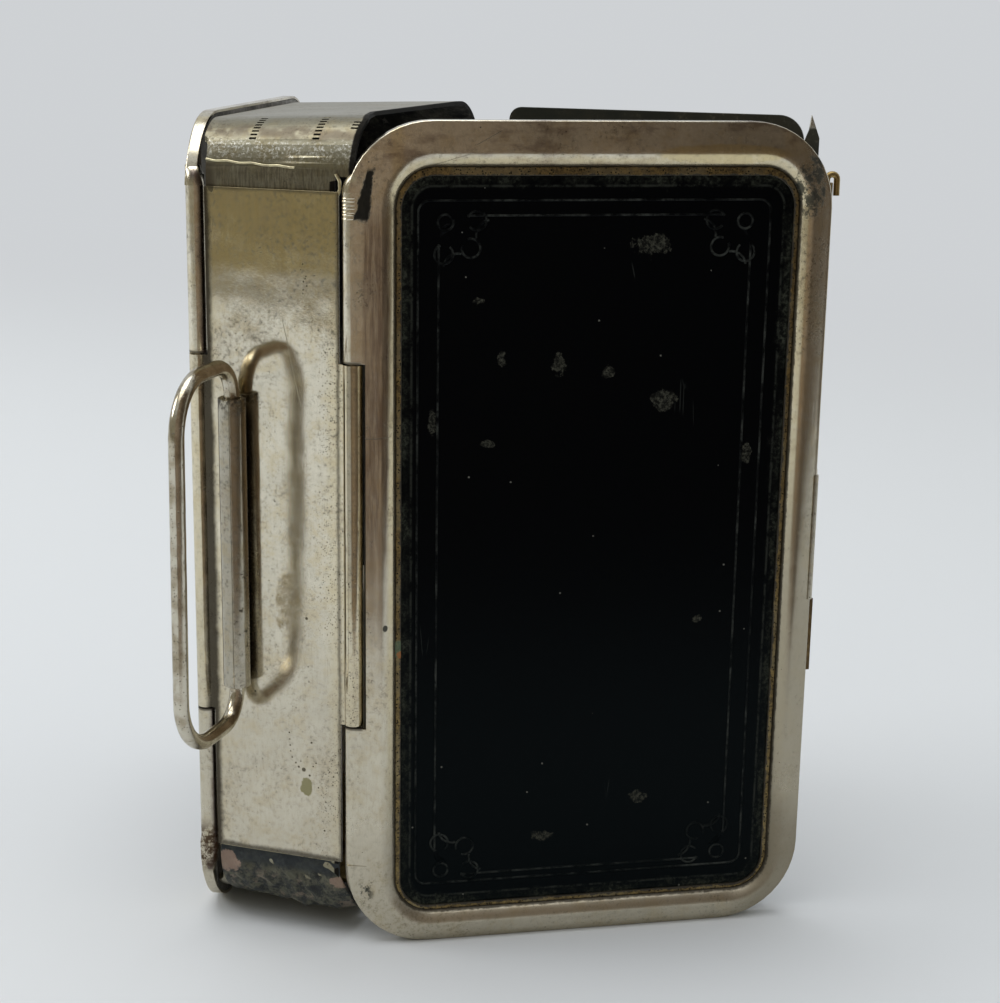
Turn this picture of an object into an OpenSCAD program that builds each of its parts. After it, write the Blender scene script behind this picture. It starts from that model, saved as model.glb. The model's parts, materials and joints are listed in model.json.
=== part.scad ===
// Folding pocket candle lantern, standing with its front cover open.
// X runs from the back hinge to the front hinge, Y from the spine into the case, Z is up.
// A cover's own space has X out of the cover, Y across it from its hinge axis, and Z up.

/* [Covers] */
// Width of a cover from its hinge axis to its free edge
cover_w = 59.2; // [54:0.2:66]
// Height of a cover
cover_h = 105; // [98:0.5:115]
// Radius of a cover's outer corners
cover_corner_r = 10.5; // [8.5:0.5:13]
// Width of the raised rim
rim_w = 5; // [4.4:0.1:5.6]
// Height of the rim's crown above its edges
rim_rise = 1.6; // [1.1:0.1:2]
// Thickness of the nickelled cover sheet
sheet_t = 0.4; // [0.3:0.05:0.5]
// Thickness of the black panel
panel_t = 0.4; // [0.3:0.05:0.6]
// Thickness of the tin lining
lining_t = 0.45; // [0.3:0.05:0.6]
// Cover edge to panel opening on the hinge side
opening_hinge = 6.2; // [5.6:0.1:7]
// Cover edge to panel opening on the free side
opening_free = 5.3; // [5.2:0.1:6.5]
// Cover edge to panel opening at the top
opening_top = 7.1; // [5.6:0.1:8]
// Cover edge to panel opening at the bottom
opening_bottom = 5.3; // [5.2:0.1:7]
// Corner radius of the panel opening
opening_r = 5; // [3:0.5:7]
// Distance of the embossed border line inside the panel opening
border_in = 5; // [3.5:0.25:7]

/* [Case] */
// Depth of the case from the spine to its far wall
case_depth = 53.5; // [49:0.5:56]
// Height of the case band
case_h = 102.7; // [96:0.1:112]
// Height of the case's floor above the table
case_lift = 2.5; // [1.5:0.1:4]
// Thickness of the case band
band_t = 0.5; // [0.4:0.05:0.8]
// Outer radius of the bends beside the spine
spine_bend_r = 7; // [5.5:0.25:7.5]
// Outer radius of the bends beside the far wall
far_bend_r = 9; // [6:0.5:11]
// Angle at which the case widens towards its far wall
flare = 9.5; // [7:0.25:11]
// Free depth between the front hinge axis and the case's front edge
front_gap = 2.1; // [2:0.05:2.6]
// Length of a vent slit
slit_l = 0.9; // [0.7:0.05:1.3]
// Width of a vent slit
slit_w = 0.3; // [0.25:0.05:0.5]
// Vent slits in a row
slits = 8; // [4:1:9]
// Width of the lip that the band has round its front upper bend
bend_lip_w = 2.4; // [1.5:0.1:2.8]
// Distance of the short vent row from the edge of that lip
edge_vent_in = 1; // [0.9:0.05:1.3]

/* [Hinges] */
// Distance between the two cover hinge axes
hinge_span = 20.4; // [18.5:0.1:24]
// Radius of a hinge knuckle
knuckle_r = 1.2; // [1:0.05:1.4]
// Radius of a hinge pin
pin_r = 0.55; // [0.45:0.05:0.65]
// Radial clearance of a pin in its knuckle
pin_clear = 0.05; // [0.03:0.01:0.09]
// Gap between neighbouring knuckles
knuckle_gap = 0.2; // [0.15:0.05:0.4]
// Length of the hinge plate
hinge_l = 85.4; // [80:0.2:88]
// Length of the middle knuckle
mid_knuckle_l = 46; // [38:0.5:54]
// Thickness of the hinge plate
plate_t = 0.5; // [0.4:0.05:0.7]

/* [Handle] */
// Diameter of the handle wire
wire_d = 1.9; // [1.5:0.1:2.1]
// Length of the handle sleeve
sleeve_l = 37; // [30:0.5:44]
// Wall of the handle sleeve
sleeve_t = 0.7; // [0.5:0.05:0.9]
// Height of the middle of the handle above the table
handle_z = 52.8; // [48:0.2:58]
// Distance of the handle's axis from the rear hinge axis
handle_in = 5.6; // [5:0.1:7]
// Reach of the loop from the handle's axis
handle_reach = 15; // [13:0.5:17]
// Bend radius where the wire leaves the sleeve
inner_bend_r = 4.2; // [3.4:0.1:4.6]
// Bend radius at the loop's outer corners
outer_bend_r = 6.8; // [5:0.1:8]

/* [Window leaf] */
// Length of the leaf from its hinge axis to its free edge
leaf_len = 41; // [34:0.5:41.5]
// Height of the leaf
leaf_h = 103.1; // [94:0.1:112]
// Height of the leaf's lower edge above the table
leaf_lift = 2.4; // [1.5:0.1:4]
// Width of the frame round the mica
leaf_border = 5; // [4:0.25:7]
// Corner radius of the leaf beside its hinge
leaf_corner_r = 3.2; // [2.4:0.1:5]
// Corner radius of the leaf at its free edge
leaf_free_r = 1.6; // [1:0.1:3]
// Thickness of the leaf's frame sheet
leaf_sheet_t = 0.5; // [0.4:0.05:0.6]
// Thickness of the mica
mica_t = 0.2; // [0.15:0.05:0.25]
// Thickness of the strip frame that holds the mica
retainer_t = 0.3; // [0.2:0.05:0.3]
// Radius of the leaf hinge's knuckles
leaf_knuckle_r = 0.9; // [0.75:0.05:0.95]
// Radius of the leaf hinge's wire pin
leaf_pin_r = 0.4; // [0.35:0.05:0.45]
// Length of the leaf's rolled knuckle
leaf_knuckle_l = 16.7; // [12:0.1:20]
// Thickness of the brass strap and of the corner tab
strap_t = 0.3; // [0.2:0.05:0.35]
// Length of the strap's lower knuckle
strap_l = 10; // [7:0.5:14]
// Width of the corner tab
tab_w = 2.7; // [2:0.1:3.2]
// Height of the corner tab's point above the cover
tab_rise = 0.7; // [0.4:0.1:2]

/* [Candle] */
// Diameter of the candle
candle_d = 11; // [9:0.25:12]
// Length of the candle
candle_l = 38; // [20:1:60]
// Wall of the candle cup
cup_t = 0.5; // [0.4:0.05:0.8]
// Depth of the candle cup
cup_h = 11; // [8:0.5:16]
// Distance of the candle's axis from the spine
candle_y = 25; // [20:0.5:34]

/* [Hidden] */

$fn = 64;

// How far the front cover, the back cover and the window leaf stand open
front_open = 61;
back_open = 10.3;
leaf_open = 28;

// Distances by which cuts pass through, and by which neighbouring flat shapes run into each other
cut = 1;
far = 5;
eps = 0.01;

// Cover levels, measured out of the cover from its hinge axis
edge_back = 1;
lip_v = -0.3;
panel_v = lip_v + lining_t;
ledge_v = panel_v + panel_t;
full_w = cover_w + edge_back;
crown_r = (pow(rim_w / 2, 2) + pow(rim_rise, 2)) / (2 * rim_rise);
panel_lap = 1;
panel_edge = rim_w - panel_lap;
border_line_w = 0.35;
border_line_h = 0.12;
border_line_r = 1.5;

// Case levels
hinge_x = hinge_span / 2;
front_x = hinge_x - front_gap;
spine_out = 0.25;
spine_y = -spine_out;
case_top = case_lift + case_h;
case_mid = case_lift + case_h / 2;
swing_gap = 0.3;
knuckle_room = knuckle_r + swing_gap;
swing_relief = 0.1;
cover_swing_r = knuckle_room + swing_relief;
rear_gap = -lip_v + swing_gap;
inner_low = case_lift + band_t;
hinge_low = case_mid - hinge_l / 2;
hinge_high = case_mid + hinge_l / 2;
mid_knuckle_drop = 0.85;
mid_low = case_mid - mid_knuckle_l / 2 - mid_knuckle_drop;
mid_high = mid_low + mid_knuckle_l;
bore_r = pin_r + pin_clear;
pin_stick = 0.2;
slit_from = 39;
slit_step = 5;
vent_x = [-3.1, 5.1];
edge_slits = 3;
edge_slit_from = 53;
bend_lip_full = 4.5;
bend_lip_end = 13;

// The lip starts where a cover's round corner has drawn in behind its pin bore
corner_clear = cover_corner_r - edge_back + bore_r / 2;
corner_clear_z = cover_h - cover_corner_r + sqrt(pow(cover_corner_r, 2) - pow(corner_clear, 2));
bend_lip_low = max(hinge_high + swing_gap, corner_clear_z);

// Handle
wire_r = wire_d / 2;
wire_clear = 0.06;
sleeve_bore_r = wire_r + wire_clear;
sleeve_r = sleeve_bore_r + sleeve_t;
sleeve_stand = 0.15;
end_play = 0.1;
handle_x = handle_in - hinge_x;
handle_y = spine_y - plate_t - sleeve_r - sleeve_stand;
sleeve_low = handle_z - sleeve_l / 2;
handle_half = sleeve_l / 2 + inner_bend_r + end_play;

// Window leaf, whose axis lies just past the cover's free edge and behind the strap and the tab
leaf_t = leaf_sheet_t + mica_t + retainer_t;
leaf_gap = 0.15;
leaf_axis_past = 0.2;
leaf_axis_u = cover_w + leaf_axis_past;
leaf_axis_v = lip_v - strap_t - leaf_gap - leaf_t;
leaf_pin_clear = 0.05;
leaf_bore_r = leaf_pin_r + leaf_pin_clear;
leaf_start = 3;
leaf_w = leaf_len - leaf_start;
leaf_window_r = 3;
leaf_inner_r = 0.5;
leaf_knuckle_low = (cover_h - leaf_knuckle_l) / 2;
leaf_knuckle_t = 0.4;
mica_in = 1.5;
retainer_in = 1;
retainer_lap = 0.4;

// Strap with its two knuckles, and the pin's hook
strap_knuckle_r = leaf_bore_r + strap_t;
strap_w = 4.4;
strap_low = leaf_knuckle_low - knuckle_gap - strap_l;
upper_strap_l = 4;
hook_room = 1;
hook_drop = 6.6;
hook_r = 0.6;
hook_reach = 0.1;
hook_tail = 2.2;
leaf_pin_stick = 0.6;
leaf_pin_low = strap_low - leaf_pin_stick;
leaf_pin_high = cover_h - hook_drop;
upper_strap_low = leaf_pin_high - hook_room - upper_strap_l;

// Corner tab: its distance from the cover's free edge, and the corners of its outline below the cover's top
tab_in = 1.6;
tab_low = hook_drop + hook_room - knuckle_gap;
tab_shoulder = 2.1;
tab_tip_in = 1.1;
tab_notch = 1.1;
tab_back = 4.5;

// Candle, cup and tray
candle_clear = 0.15;
cup_r = candle_d / 2 + candle_clear + cup_t;
cup_slot_w = 0.8;
cup_slot_low = 4;
tray_t = 0.5;
tray_edge = 1;
tray_w = 2 * (cup_r + tray_edge);
tray_l = 30;
tray_gap = 0.6;
candle_x = front_x - tray_w / 2 - tray_gap;
cup_low = inner_low + tray_t;
candle_low = cup_low + cup_t;
candle_shoulder = 1;
wick_d = 1;
wick_l = 5.5;
wick_in = 2;
wick_clear = 0.1;
rivet_r = 0.9;
rivet_shank_r = rivet_r / 2;
rivet_head_h = 0.4;
rivet_clear = 0.05;
rivet_in = 3;

// The origin is on the table, below the middle of the whole open lantern
hook_u = leaf_axis_u + 2 * hook_r + hook_reach;
reach_right = hinge_x + hook_u * sin(front_open) + leaf_axis_v * cos(front_open) + leaf_pin_r;
reach_left = -hinge_x - cover_w * sin(back_open) - (ledge_v + rim_rise) * cos(back_open);
reach_back = cover_w * cos(back_open);
reach_front = handle_y - handle_reach - wire_r;
centre = [(reach_right + reach_left) / 2, (reach_back + reach_front) / 2];

// Stands a flat shape up across the object: its x along Y, its y along Z, its height along X
module upright(t) rotate([90, 0, 90]) linear_extrude(t) children();

// Rectangle with its own corner radius on each side
module soft_rect(w, h, r_near, r_far) {
    translate([r_near, 0]) square([w - r_near - r_far, h]);
    translate([0, r_near]) square([r_near + eps, h - 2 * r_near]);
    translate([w - r_far - eps, r_far]) square([r_far + eps, h - 2 * r_far]);
    for (y = [r_near, h - r_near]) translate([r_near, y]) circle(r_near);
    for (y = [r_far, h - r_far]) translate([w - r_far, y]) circle(r_far);
}

// Carries a section round a rectangle with round corners; the section's x runs inwards
module swept_rim(w, h, r) {
    for (side = [[r, 0, 0, w], [w, r, 90, h], [w - r, h, 180, w], [0, h - r, 270, h]])
        translate([side[0], side[1], 0]) rotate([0, 0, side[2]]) upright(side[3] - 2 * r) children();
    for (corner = [[r, r, 180], [w - r, r, 270], [w - r, h - r, 0], [r, h - r, 90]])
        translate([corner[0], corner[1], 0]) rotate([0, 0, corner[2]])
            rotate_extrude(angle = 90) translate([r, 0]) mirror([1, 0]) children();
}

module placed() translate([-centre[0], -centre[1], 0]) children();

module front_space() placed() translate([hinge_x, 0, 0]) rotate([0, 0, -front_open]) children();

module back_space() placed() mirror([1, 0, 0]) translate([hinge_x, 0, 0])
    rotate([0, 0, -back_open]) children();

module leaf_space() front_space() translate([leaf_axis_v, leaf_axis_u, 0])
    rotate([0, 0, -leaf_open]) children();

// Section of the rim: a turned-in edge and a crowned band
module rim_section() {
    translate([0, lip_v]) square([sheet_t, ledge_v + sheet_t - lip_v]);
    intersection() {
        translate([0, ledge_v]) square([rim_w, rim_rise + sheet_t]);
        translate([rim_w / 2, ledge_v + rim_rise - crown_r]) difference() {
            circle(crown_r);
            circle(crown_r - sheet_t);
        }
    }
}

// Outline of the panel opening in a cover
module opening_outline() translate([opening_hinge - edge_back, opening_bottom])
    soft_rect(full_w - opening_hinge - opening_free, cover_h - opening_bottom - opening_top,
        opening_r, opening_r);

// Outline of a cover, drawn in from its edge by a distance
module cover_outline(inset) translate([inset - edge_back, inset])
    soft_rect(full_w - 2 * inset, cover_h - 2 * inset, cover_corner_r - inset, cover_corner_r - inset);

// Nickelled frame of a cover, with its two knuckles
module cover_frame() color("lightsteelblue") difference() {
    union() {
        difference() {
            rotate([90, 0, 90]) translate([-edge_back, 0, 0])
                swept_rim(full_w, cover_h, cover_corner_r) rim_section();
            translate([-far, -far, hinge_low]) cube([2 * far, far + knuckle_r, hinge_l]);
        }
        translate([ledge_v, 0, 0]) upright(sheet_t) difference() {
            cover_outline(rim_w - sheet_t);
            opening_outline();
        }
        translate([lip_v, knuckle_r, hinge_low])
            cube([ledge_v + rim_rise - lip_v - sheet_t / 2, sheet_t, hinge_l]);
        for (z = [[hinge_low, mid_low - knuckle_gap], [mid_high + knuckle_gap, hinge_high]])
            translate([0, 0, z[0]]) {
                cylinder(r = knuckle_r, h = z[1] - z[0]);
                translate([lip_v, 0, 0]) cube([ledge_v + sheet_t - lip_v, knuckle_r + sheet_t, z[1] - z[0]]);
            }
    }
    cylinder(r = bore_r, h = cover_h);
    translate([-far, -far, mid_low - knuckle_gap])
        cube([2 * far, far + knuckle_room, mid_knuckle_l + 2 * knuckle_gap]);
}

// Black pressed panel of a cover, held under the frame's ledge
module cover_panel() color("black") {
    translate([panel_v, 0, 0]) upright(panel_t) cover_outline(panel_edge);
    translate([ledge_v, 0, 0]) upright(border_line_h) difference() {
        border_outline(border_in);
        border_outline(border_in + border_line_w);
    }
}

module border_outline(inset) translate([opening_hinge - edge_back + inset, opening_bottom + inset])
    soft_rect(full_w - opening_hinge - opening_free - 2 * inset,
        cover_h - opening_bottom - opening_top - 2 * inset, border_line_r, border_line_r);

// Tin lining that closes the back of a cover
module cover_lining() color("dimgray") translate([lip_v, 0, 0]) upright(lining_t) intersection() {
    cover_outline(sheet_t);
    translate([knuckle_room + sheet_t, 0]) square([cover_w, cover_h]);
}

// Sheet band bent round the spine, roof, far wall and floor of the case
module case_band() color("silver") placed() difference() {
    union() {
        translate([-cover_w / 2, 0, 0]) upright(cover_w / 2 + front_x) band_section();
        intersection() {
            translate([front_x - eps, 0, 0]) upright(bend_lip_w + eps) band_section();
            translate([front_x - eps, 0, bend_lip_low]) linear_extrude(case_h)
                polygon([[0, -far], [bend_lip_w + eps, -far], [bend_lip_w + eps, bend_lip_full],
                    [0, bend_lip_end]]);
        }
    }
    translate([-hinge_x + rear_gap, 0, 0]) rotate([0, 0, flare])
        translate([-cover_w, -case_depth / 2, 0]) cube([cover_w, 2 * case_depth, case_top + cut]);
    translate([-hinge_x, 0, 0]) cylinder(r = cover_swing_r, h = case_top + cut);
    translate([-hinge_x - far, -far, hinge_low - swing_gap])
        cube([far + knuckle_room, far + knuckle_room, hinge_l + 2 * swing_gap]);
    for (x = vent_x) vent_row(x, slits, slit_from);
    vent_row(front_x + bend_lip_w - edge_vent_in, edge_slits, edge_slit_from);
}

// Section of the band, its x along Y and its y along Z
module band_section() translate([spine_y, case_lift]) difference() {
    soft_rect(case_depth - spine_y, case_h, spine_bend_r, far_bend_r);
    translate([band_t, band_t]) soft_rect(case_depth - spine_y - 2 * band_t, case_h - 2 * band_t,
        spine_bend_r - band_t, far_bend_r - band_t);
}

// Row of slits climbing the bend between spine and roof
module vent_row(x, n, from) translate([x, spine_y + spine_bend_r, case_top - spine_bend_r])
    for (i = [0 : n - 1]) rotate([-from - slit_step * i, 0, 0])
        translate([-slit_l / 2, -spine_bend_r - cut, -slit_w / 2]) cube([slit_l, 2 * cut + band_t, slit_w]);

// Plate soldered over the spine, rolled into the middle knuckle of both hinges
module hinge_plate() color("gainsboro") placed() difference() {
    union() {
        translate([-hinge_x + knuckle_room, spine_y - plate_t, hinge_low])
            cube([hinge_span - 2 * knuckle_room, plate_t, hinge_l]);
        for (side = [-1, 1]) translate([side * hinge_x, 0, mid_low])
            cylinder(r = knuckle_r, h = mid_knuckle_l);
        translate([-hinge_x, spine_y - plate_t, mid_low]) cube([hinge_span, plate_t, mid_knuckle_l]);
    }
    for (side = [-1, 1]) translate([side * hinge_x, 0, mid_low - cut])
        cylinder(r = bore_r, h = mid_knuckle_l + 2 * cut);
}

// Rolled tube on the hinge plate, in which the handle turns
module handle_sleeve() color("gainsboro") placed() difference() {
    union() {
        translate([handle_x, handle_y, sleeve_low]) cylinder(r = sleeve_r, h = sleeve_l);
        translate([handle_x - sleeve_r, handle_y, sleeve_low])
            cube([sleeve_t, spine_y - plate_t - handle_y, sleeve_l]);
    }
    translate([handle_x, handle_y, sleeve_low - cut]) cylinder(r = sleeve_bore_r, h = sleeve_l + 2 * cut);
}

// Wire loop: one leg in the sleeve, the other out in front of the spine
module wire_handle() color("lightgray") placed() translate([handle_x, handle_y, handle_z])
    rotate([0, 0, -90]) {
        translate([0, 0, inner_bend_r - handle_half])
            cylinder(r = wire_r, h = 2 * (handle_half - inner_bend_r));
        translate([handle_reach, 0, outer_bend_r - handle_half])
            cylinder(r = wire_r, h = 2 * (handle_half - outer_bend_r));
        for (end = [0, 1]) mirror([0, 0, end]) {
            translate([inner_bend_r, 0, handle_half - inner_bend_r]) wire_bend(inner_bend_r, 90);
            translate([handle_reach - outer_bend_r, 0, handle_half - outer_bend_r])
                wire_bend(outer_bend_r, 0);
            translate([inner_bend_r, 0, handle_half]) rotate([0, 90, 0])
                cylinder(r = wire_r, h = handle_reach - inner_bend_r - outer_bend_r);
        }
    }

// Quarter turn of the handle wire, standing in the X-Z plane
module wire_bend(r, from) rotate([90, 0, 0]) rotate([0, 0, from])
    rotate_extrude(angle = 90) translate([r, 0]) circle(wire_r);

module cover_hinge_pin(side) color("darkgray") placed()
    translate([side * hinge_x, 0, hinge_low - pin_stick]) cylinder(r = pin_r, h = hinge_l + 2 * pin_stick);

// Floor plate that carries the cup
module candle_tray() color("darkgoldenrod") placed() difference() {
    translate([candle_x - tray_w / 2, candle_y - tray_l / 2, inner_low]) cube([tray_w, tray_l, tray_t]);
    for (side = [-1, 1]) translate([candle_x, candle_y + side * (tray_l / 2 - rivet_in), inner_low - cut])
        cylinder(r = rivet_shank_r + rivet_clear, h = tray_t + 2 * cut);
}

module candle_cup() color("goldenrod") placed() translate([candle_x, candle_y, cup_low]) difference() {
    cylinder(r = cup_r, h = cup_h);
    translate([0, 0, cup_t]) cylinder(r = cup_r - cup_t, h = cup_h);
    for (turn = [45, 135]) rotate([0, 0, turn])
        translate([-cup_r - cut, -cup_slot_w / 2, cup_slot_low]) cube([2 * (cup_r + cut), cup_slot_w, cup_h]);
}

// Two rivets that hold the tray to the floor
module cup_rivets() color("silver") placed() for (side = [-1, 1])
    translate([candle_x, candle_y + side * (tray_l / 2 - rivet_in), 0]) {
        translate([0, 0, inner_low]) cylinder(r = rivet_shank_r, h = tray_t);
        translate([0, 0, inner_low + tray_t]) cylinder(r = rivet_r, h = rivet_head_h);
    }

module candle() color("ivory") placed() translate([candle_x, candle_y, candle_low]) difference() {
    union() {
        cylinder(d = candle_d, h = candle_l - candle_shoulder);
        translate([0, 0, candle_l - candle_shoulder])
            cylinder(d1 = candle_d, d2 = candle_d - 2 * candle_shoulder, h = candle_shoulder);
    }
    translate([0, 0, candle_l - wick_in]) cylinder(r = wick_d / 2 + wick_clear, h = wick_in + cut);
}

module wick() color("dimgray") placed() translate([candle_x, candle_y, candle_low + candle_l - wick_in])
    cylinder(d = wick_d, h = wick_l);

// Brass strap on the cover lining with the two fixed knuckles of the leaf's hinge
module leaf_hinge_strap() color("peru") front_space() difference() {
    union() {
        strap_piece(strap_low, strap_l);
        strap_piece(upper_strap_low, upper_strap_l);
    }
    translate([leaf_axis_v, leaf_axis_u, 0]) cylinder(r = leaf_bore_r, h = cover_h);
}

// One knuckle with its web and the flat piece that is soldered to the lining
module strap_piece(low, l) {
    translate([leaf_axis_v, leaf_axis_u, low]) cylinder(r = strap_knuckle_r, h = l);
    translate([leaf_axis_v, leaf_axis_u - strap_knuckle_r, low]) cube([lip_v - leaf_axis_v, strap_t, l]);
    translate([lip_v - strap_t, leaf_axis_u - strap_w, low])
        cube([strap_t, strap_w - strap_knuckle_r + strap_t, l]);
}

// Wire pin of the leaf's hinge; its top end is bent over outside the cover's edge
module leaf_hinge_pin() color("darkgoldenrod") front_space() translate([leaf_axis_v, leaf_axis_u, 0]) {
    hook_low = leaf_pin_high - hook_r;
    translate([0, 0, leaf_pin_low]) cylinder(r = leaf_pin_r, h = hook_low - leaf_pin_low);
    translate([0, hook_r, hook_low]) rotate([0, 0, 90]) hook_bend(90);
    translate([0, hook_r, leaf_pin_high]) rotate([-90, 0, 0]) cylinder(r = leaf_pin_r, h = hook_reach);
    translate([0, hook_r + hook_reach, hook_low]) rotate([0, 0, 90]) hook_bend(0);
    translate([0, 2 * hook_r + hook_reach, hook_low - hook_tail]) cylinder(r = leaf_pin_r, h = hook_tail);
}

module hook_bend(from) rotate([90, 0, 0]) rotate([0, 0, from])
    rotate_extrude(angle = 90) translate([hook_r, 0]) circle(leaf_pin_r);

// Pointed sheet tab that stands up at the lining's free corner
module corner_tab() color("darkslategray") front_space()
    translate([lip_v - strap_t, cover_w - tab_in, cover_h]) upright(strap_t)
        polygon([[-tab_w, -tab_low], [0, -tab_low], [0, -tab_shoulder], [-tab_tip_in, tab_rise],
            [-tab_w / 2, -tab_notch], [-tab_w, -tab_back]]);

// Sheet frame of the window leaf
module leaf_frame() color("darkolivegreen") leaf_space()
    translate([leaf_t - leaf_sheet_t, 0, 0]) upright(leaf_sheet_t) difference() {
        leaf_outline(0, leaf_free_r, leaf_corner_r);
        leaf_outline(leaf_border, leaf_window_r, leaf_window_r);
    }

// Outline of the leaf, drawn in from its edge by a distance
module leaf_outline(inset, free_r, hinge_r) translate([inset - leaf_len, leaf_lift + inset])
    soft_rect(leaf_w - 2 * inset, leaf_h - 2 * inset, free_r, hinge_r);

module leaf_mica() color("wheat") leaf_space() translate([retainer_t, 0, 0]) upright(mica_t)
    leaf_outline(mica_in, leaf_inner_r, leaf_corner_r - mica_in);

// Strip frame that clamps the mica against the leaf
module leaf_retainer() color("olivedrab") leaf_space() upright(retainer_t) difference() {
    leaf_outline(retainer_in, leaf_inner_r, leaf_corner_r - retainer_in);
    leaf_outline(leaf_border - retainer_lap, leaf_window_r, leaf_window_r);
}

// Rolled knuckle by which the leaf turns on its pin
module leaf_knuckle() color("silver") leaf_space() translate([0, 0, leaf_knuckle_low]) difference() {
    union() {
        cylinder(r = leaf_knuckle_r, h = leaf_knuckle_l);
        translate([leaf_t - leaf_sheet_t, -leaf_start, 0]) cube([leaf_knuckle_t, leaf_start, leaf_knuckle_l]);
    }
    translate([0, 0, -cut]) cylinder(r = leaf_bore_r, h = leaf_knuckle_l + 2 * cut);
}

case_band();
hinge_plate();
handle_sleeve();
wire_handle();
cover_hinge_pin(1);  // front_hinge_pin
cover_hinge_pin(-1);  // back_hinge_pin
candle_tray();
candle_cup();
cup_rivets();
candle();
wick();
front_space() cover_frame();  // front_cover_frame
front_space() cover_panel();  // front_cover_panel
front_space() cover_lining();  // front_cover_lining
leaf_hinge_strap();
leaf_hinge_pin();
corner_tab();
back_space() cover_frame();  // back_cover_frame
back_space() cover_panel();  // back_cover_panel
back_space() cover_lining();  // back_cover_lining
leaf_frame();
leaf_mica();
leaf_retainer();
leaf_knuckle();
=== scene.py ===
import json
import math

import bmesh
import bpy
import numpy as np
from bpy.props import FloatProperty, FloatVectorProperty, IntProperty, PointerProperty
from mathutils import Euler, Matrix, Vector


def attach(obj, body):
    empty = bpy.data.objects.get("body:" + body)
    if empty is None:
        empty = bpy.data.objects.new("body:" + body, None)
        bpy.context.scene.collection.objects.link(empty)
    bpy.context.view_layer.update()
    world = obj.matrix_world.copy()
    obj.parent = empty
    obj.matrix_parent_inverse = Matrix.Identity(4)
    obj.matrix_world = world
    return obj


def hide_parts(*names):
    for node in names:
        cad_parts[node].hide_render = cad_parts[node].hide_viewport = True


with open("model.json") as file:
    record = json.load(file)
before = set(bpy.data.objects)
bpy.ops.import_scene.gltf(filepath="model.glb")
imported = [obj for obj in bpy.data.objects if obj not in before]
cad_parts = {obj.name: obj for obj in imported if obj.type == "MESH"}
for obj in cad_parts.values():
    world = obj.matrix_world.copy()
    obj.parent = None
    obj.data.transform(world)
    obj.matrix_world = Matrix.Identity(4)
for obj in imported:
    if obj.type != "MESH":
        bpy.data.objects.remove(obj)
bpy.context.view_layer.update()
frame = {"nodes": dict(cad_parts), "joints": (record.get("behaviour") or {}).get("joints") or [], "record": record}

bl_info = {
    "name": "Folding candle lantern",
    "version": (1, 0, 0),
    "blender": (4, 5, 0),
    "location": "View3D > Sidebar > Lantern",
    "description": "Makes the looks of a folding pocket candle lantern round its packed frame",
    "category": "Add Mesh",
}

MM = 0.001
JOINTS = {joint["name"]: joint for joint in frame["joints"]}
BODIES = frame["record"]["behaviour"]["bodies"]
BODY_OF = {node: body for body, nodes in BODIES.items() for node in nodes}
FRONT_AXIS = Vector(JOINTS["front_cover_hinge"]["pos_m"])
BACK_AXIS = Vector(JOINTS["back_cover_hinge"]["pos_m"])
LEAF_AXIS = Vector(JOINTS["window_leaf_hinge"]["pos_m"])
HANDLE_AXIS = Vector(JOINTS["handle_hinge"]["pos_m"])

# How far each moving part stands open, in degrees
FRONT_OPEN = JOINTS["front_cover_hinge"]["range_deg"][1]
LEAF_OPEN = FRONT_OPEN * frame["record"]["behaviour"]["couplings"][0]["ratio"]
BACK_OPEN = 10.3


class Space:
    """A moving part's own space in millimetres: v runs out of its face, u across it and z up."""

    def __init__(self, axis, turn, side=1):
        angle = math.radians(turn)
        self.origin = Vector((axis[0], axis[1], 0))
        self.turn = angle
        self.side = side
        self.v = Vector((side * math.cos(angle), -math.sin(angle), 0))
        self.u = Vector((side * math.sin(angle), math.cos(angle), 0))

    def at(self, v, u, z):
        return self.origin + (self.v * v + self.u * u + Vector((0, 0, z))) * MM


CASE = Space((FRONT_AXIS + BACK_AXIS) / 2, 0)
FRONT = Space(FRONT_AXIS, FRONT_OPEN)
BACK = Space(BACK_AXIS, BACK_OPEN, side=-1)
LEAF = Space(LEAF_AXIS, FRONT_OPEN + LEAF_OPEN)
HANDLE = Space(HANDLE_AXIS, 90)
COVERS = (("front", FRONT, "front_cover"), ("back", BACK, "back_cover"))


def extent(node, space):
    """Lowest and highest v, u and z of a CAD node in a space, in millimetres."""
    points = [vertex.co for vertex in frame["nodes"][node].data.vertices]
    local = [((p - space.origin).dot(space.v), (p - space.origin).dot(space.u), p.z) for p in points]
    local = np.array(local) / MM
    return local.min(0), local.max(0)


COVER_LOW, COVER_HIGH = extent("front_cover_frame", FRONT)
PANEL_LOW, PANEL_HIGH = extent("front_cover_panel", FRONT)
LINING_LOW, LINING_HIGH = extent("front_cover_lining", FRONT)
BAND_LOW, BAND_HIGH = extent("case_band", CASE)
BAND_FRONT = 8.1
CASE_BEND = 7.0
PLATE_LOW, PLATE_HIGH = extent("hinge_plate", CASE)
SLEEVE_LOW, SLEEVE_HIGH = extent("handle_sleeve", CASE)
WIRE_LOW, WIRE_HIGH = extent("wire_handle", HANDLE)
PIN_LOW, PIN_HIGH = extent("front_hinge_pin", CASE)
LEAF_PIN_LOW, LEAF_PIN_HIGH = extent("leaf_hinge_pin", FRONT)
CANDLE_LOW, CANDLE_HIGH = extent("candle", CASE)
WICK_LOW, WICK_HIGH = extent("wick", CASE)


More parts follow.
